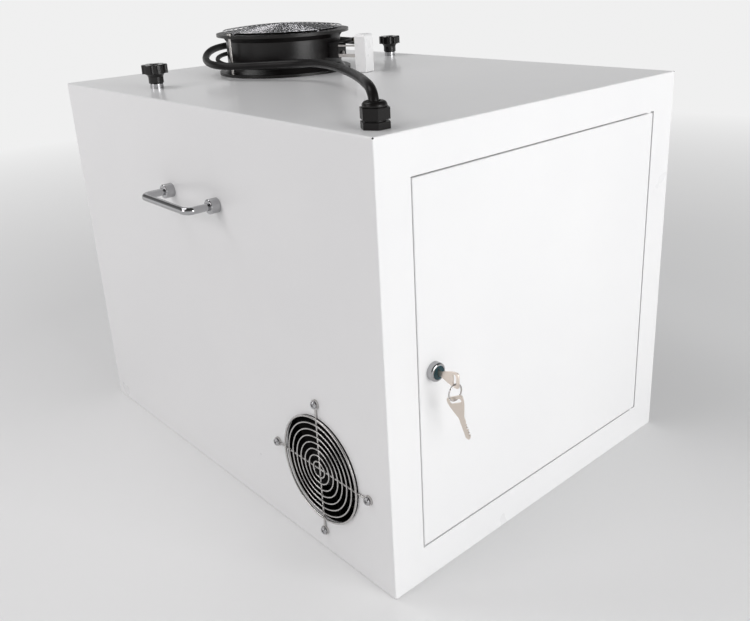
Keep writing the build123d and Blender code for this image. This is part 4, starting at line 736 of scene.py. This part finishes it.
# %% Ring
ring_radius, ring_turns, ring_steps = 8.0, 2, 64
ring_centre_z, ring_start = 212.5, math.radians(200)
ring_wire_radius, coil_offset, crossing = 0.52, 0.42, 6
ring_route = []
for step in range(ring_turns * ring_steps + 1):
    angle = math.tau * step / ring_steps + ring_start
    # The wire keeps to one side for a turn, crosses over halfway and keeps to the other.
    side = coil_offset * math.tanh(crossing * (step / (ring_turns * ring_steps) - 0.5))
    level = ring_centre_z + ring_radius * math.sin(angle)
    ring_route.append((lock_x + ring_radius * math.cos(angle), ring_y + side, level))
ring_piece = wire(
    "split_ring", ring_route, ring_wire_radius, False, wire_chrome, "key_ring"
)
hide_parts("key_ring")
print("ring points", len(ring_route))

# %% [markdown]
# ## Star knobs
# Each knob is one moulding: a six-lobed grip on a round neck. Under the grip the neck flares out so
# that it leaves the mould, and a cap closes the top of the threaded insert. Both are turned forms.

# %% Flares and caps
knob_y, grip_base, grip_top = 140.0, 467.25, 477.55
flare = [(8.4, -4.4), (8.75, -4.2), (9.3, -2.6), (10.4, -1.1), (12.0, 0.1)]
cap = [(0, 0.75), (3.0, 0.68), (4.8, 0.40), (5.4, 0.1), (5.5, -0.2)]
for body, knob_x in (("knob_left", -180.0), ("knob_right", 195.0)):
    for ending, profile, level in (("_flare", flare, grip_base), ("_cap", cap, grip_top)):
        raised = [(reach, level + rise) for reach, rise in profile]
        centre = (knob_x, knob_y, 0)
        turned(body + ending, raised, centre, to_top, knob_plastic, body)
print("knobs finished")

# %% [markdown]
# ## Screw recesses
# The pan heads have cross recesses and the terminals have slots. The shade inside a recess this small
# is painted: each is a thin plate in a dark finish of painted shade that lies on its head, a few
# hundredths of a millimetre proud.

# %% Recess outlines
recess_thickness, recess_edge = 0.08, 0.01
arm, half_arm = 2.3, 0.42
quarter = [(half_arm, half_arm), (half_arm, arm), (-half_arm, arm)]
cross_outline = []
for _ in range(4):
    cross_outline += quarter
    quarter = [(-up, right) for right, up in quarter]
slot_outline = [(-0.5, -2.4), (0.5, -2.4), (0.5, 2.4), (-0.5, 2.4)]


def recess(name, outline, centre, facing_to, upward, body):
    """Painted shade for a recess: a thin dark plate on a face, with its length along upward."""
    place = facing(centre, facing_to, upward)
    flat(name, [outline], recess_thickness, recess_edge, place, shadow_line, body)


# %% Guard and rear screws
# Every screw was driven home at its own angle, so each recess, with its painted shade, leans its own
# way.
guard_face, side_fan_y, side_fan_z, guard_reach = -229.8, -194.0, 99.0, 74.25
guard_steps = ((-1, 0), (1, 0), (0, -1), (0, 1))
for number, (step_y, step_z) in enumerate(guard_steps):
    lean = (0, 0.3 + 0.4 * number, 1)
    spot = (guard_face, side_fan_y + step_y * guard_reach, side_fan_z + step_z * guard_reach)
    recess("guard_recess_%d" % number, cross_outline, spot, to_left, lean, "cabinet")
rear_face, rear_pitch = 302.6, 111.75
low_row, middle_row, high_row, side_column = 9.0, 225.0, 441.0, 216.0
rear_spots = [(rear_pitch * (step - 1.5), row) for step in range(4) for row in (low_row, high_row)]
for column in (-side_column, side_column):
    rear_spots += [(column, middle_row + rear_pitch * step) for step in (-1, 0, 1)]
for number, (x, z) in enumerate(rear_spots):
    lean, spot = (math.sin(number), 0, math.cos(number)), (x, rear_face, z)
    title = "rear_recess_%d" % number
    recess(title, cross_outline, spot, to_rear, lean, "cabinet")
print("recesses", len(guard_steps) + len(rear_spots))

# %% Terminal slots and the lead's sleeve
# The capacitor's bracket points away from the fan's axis along "out". Each row of the screws has a
# reach along it, the side that the head faces (1 is outward) and a level.
bracket_angle = math.radians(-71)
out = Vector((math.cos(bracket_angle), math.sin(bracket_angle), 0))
beside = Vector((-out.y, out.x, 0))
fan_centre = Vector((7.5, 140.0, 0))
screw_rows = ((111.5, -1, 462.0), (111.5, -1, 475.5), (92.0, 1, 473.0))
slot_lean = (0.4, 0.1, 1)
# Each slot is a thin plate of painted shade: the shade inside the slot of a terminal screw.
for number, (reach, side, level) in enumerate(screw_rows):
    spot = fan_centre + out * reach + Vector((0, 0, level))
    title = "terminal_slot_%d" % number
    recess(title, slot_outline, spot, out * side, slot_lean, "cabinet")
tip_reach, tip_beside, tip_level = 114.5, 6.0, 488.5
sleeve_length, sleeve_radius = 9, 3.05
lead_tip = fan_centre + out * tip_reach + beside * tip_beside + Vector((0, 0, tip_level))
sleeve = [lead_tip - out * sleeve_length, lead_tip]
wire("lead_sleeve", sleeve, sleeve_radius, False, olive_sleeve, "cabinet")
print("terminals finished")

# %% [markdown]
# ## Gland seal, keyway and corner reliefs
# A rubber ring fills the gland's mouth round the cable. The lock's face has a tall keyway, of which
# the blade fills only the middle, and the shade in the rest of it is painted as a thin dark plate.
# Where the top sheet meets the front frame, a small relief hole keeps the corner from tearing when
# the sheet is bent, and its shade is painted as a small dark dome.

# %% Seal, keyway, reliefs
seal_reach, seal_level, seal_round, seal_steps = 5.5, 471.7, 0.95, 12
gland_centre = (-197.0, -272.0, 0)
seal = []
for step in range(seal_steps + 1):
    angle = math.radians(180 - 180 * step // seal_steps)
    rise = seal_round * math.sin(angle)
    seal.append((seal_reach + seal_round * math.cos(angle), seal_level + rise))
turned("gland_seal", seal, gland_centre, to_top, cable_sheath, "cabinet")
# The keyway plate and the two corner domes are painted shade.
lock_face = (lock_x, -306.2, lock_z)
keyway = [(-0.75, -4.9), (0.75, -4.9), (0.75, 4.9), (-0.75, 4.9)]
recess("keyway", keyway, lock_face, to_front, to_top, "lock_plug")
corner_x, corner_y, corner_z = 224.0, -299.0, 449.0
dot = [(0, 0.95), (0.5, 0.8), (0.85, 0.4), (0.95, 0)]
for name, side in (("left", -1), ("right", 1)):
    spot = (side * corner_x, corner_y, corner_z)
    turned("corner_relief_" + name, dot, spot, (side, -1, 1), shadow_line, "cabinet")
print("small marks finished")
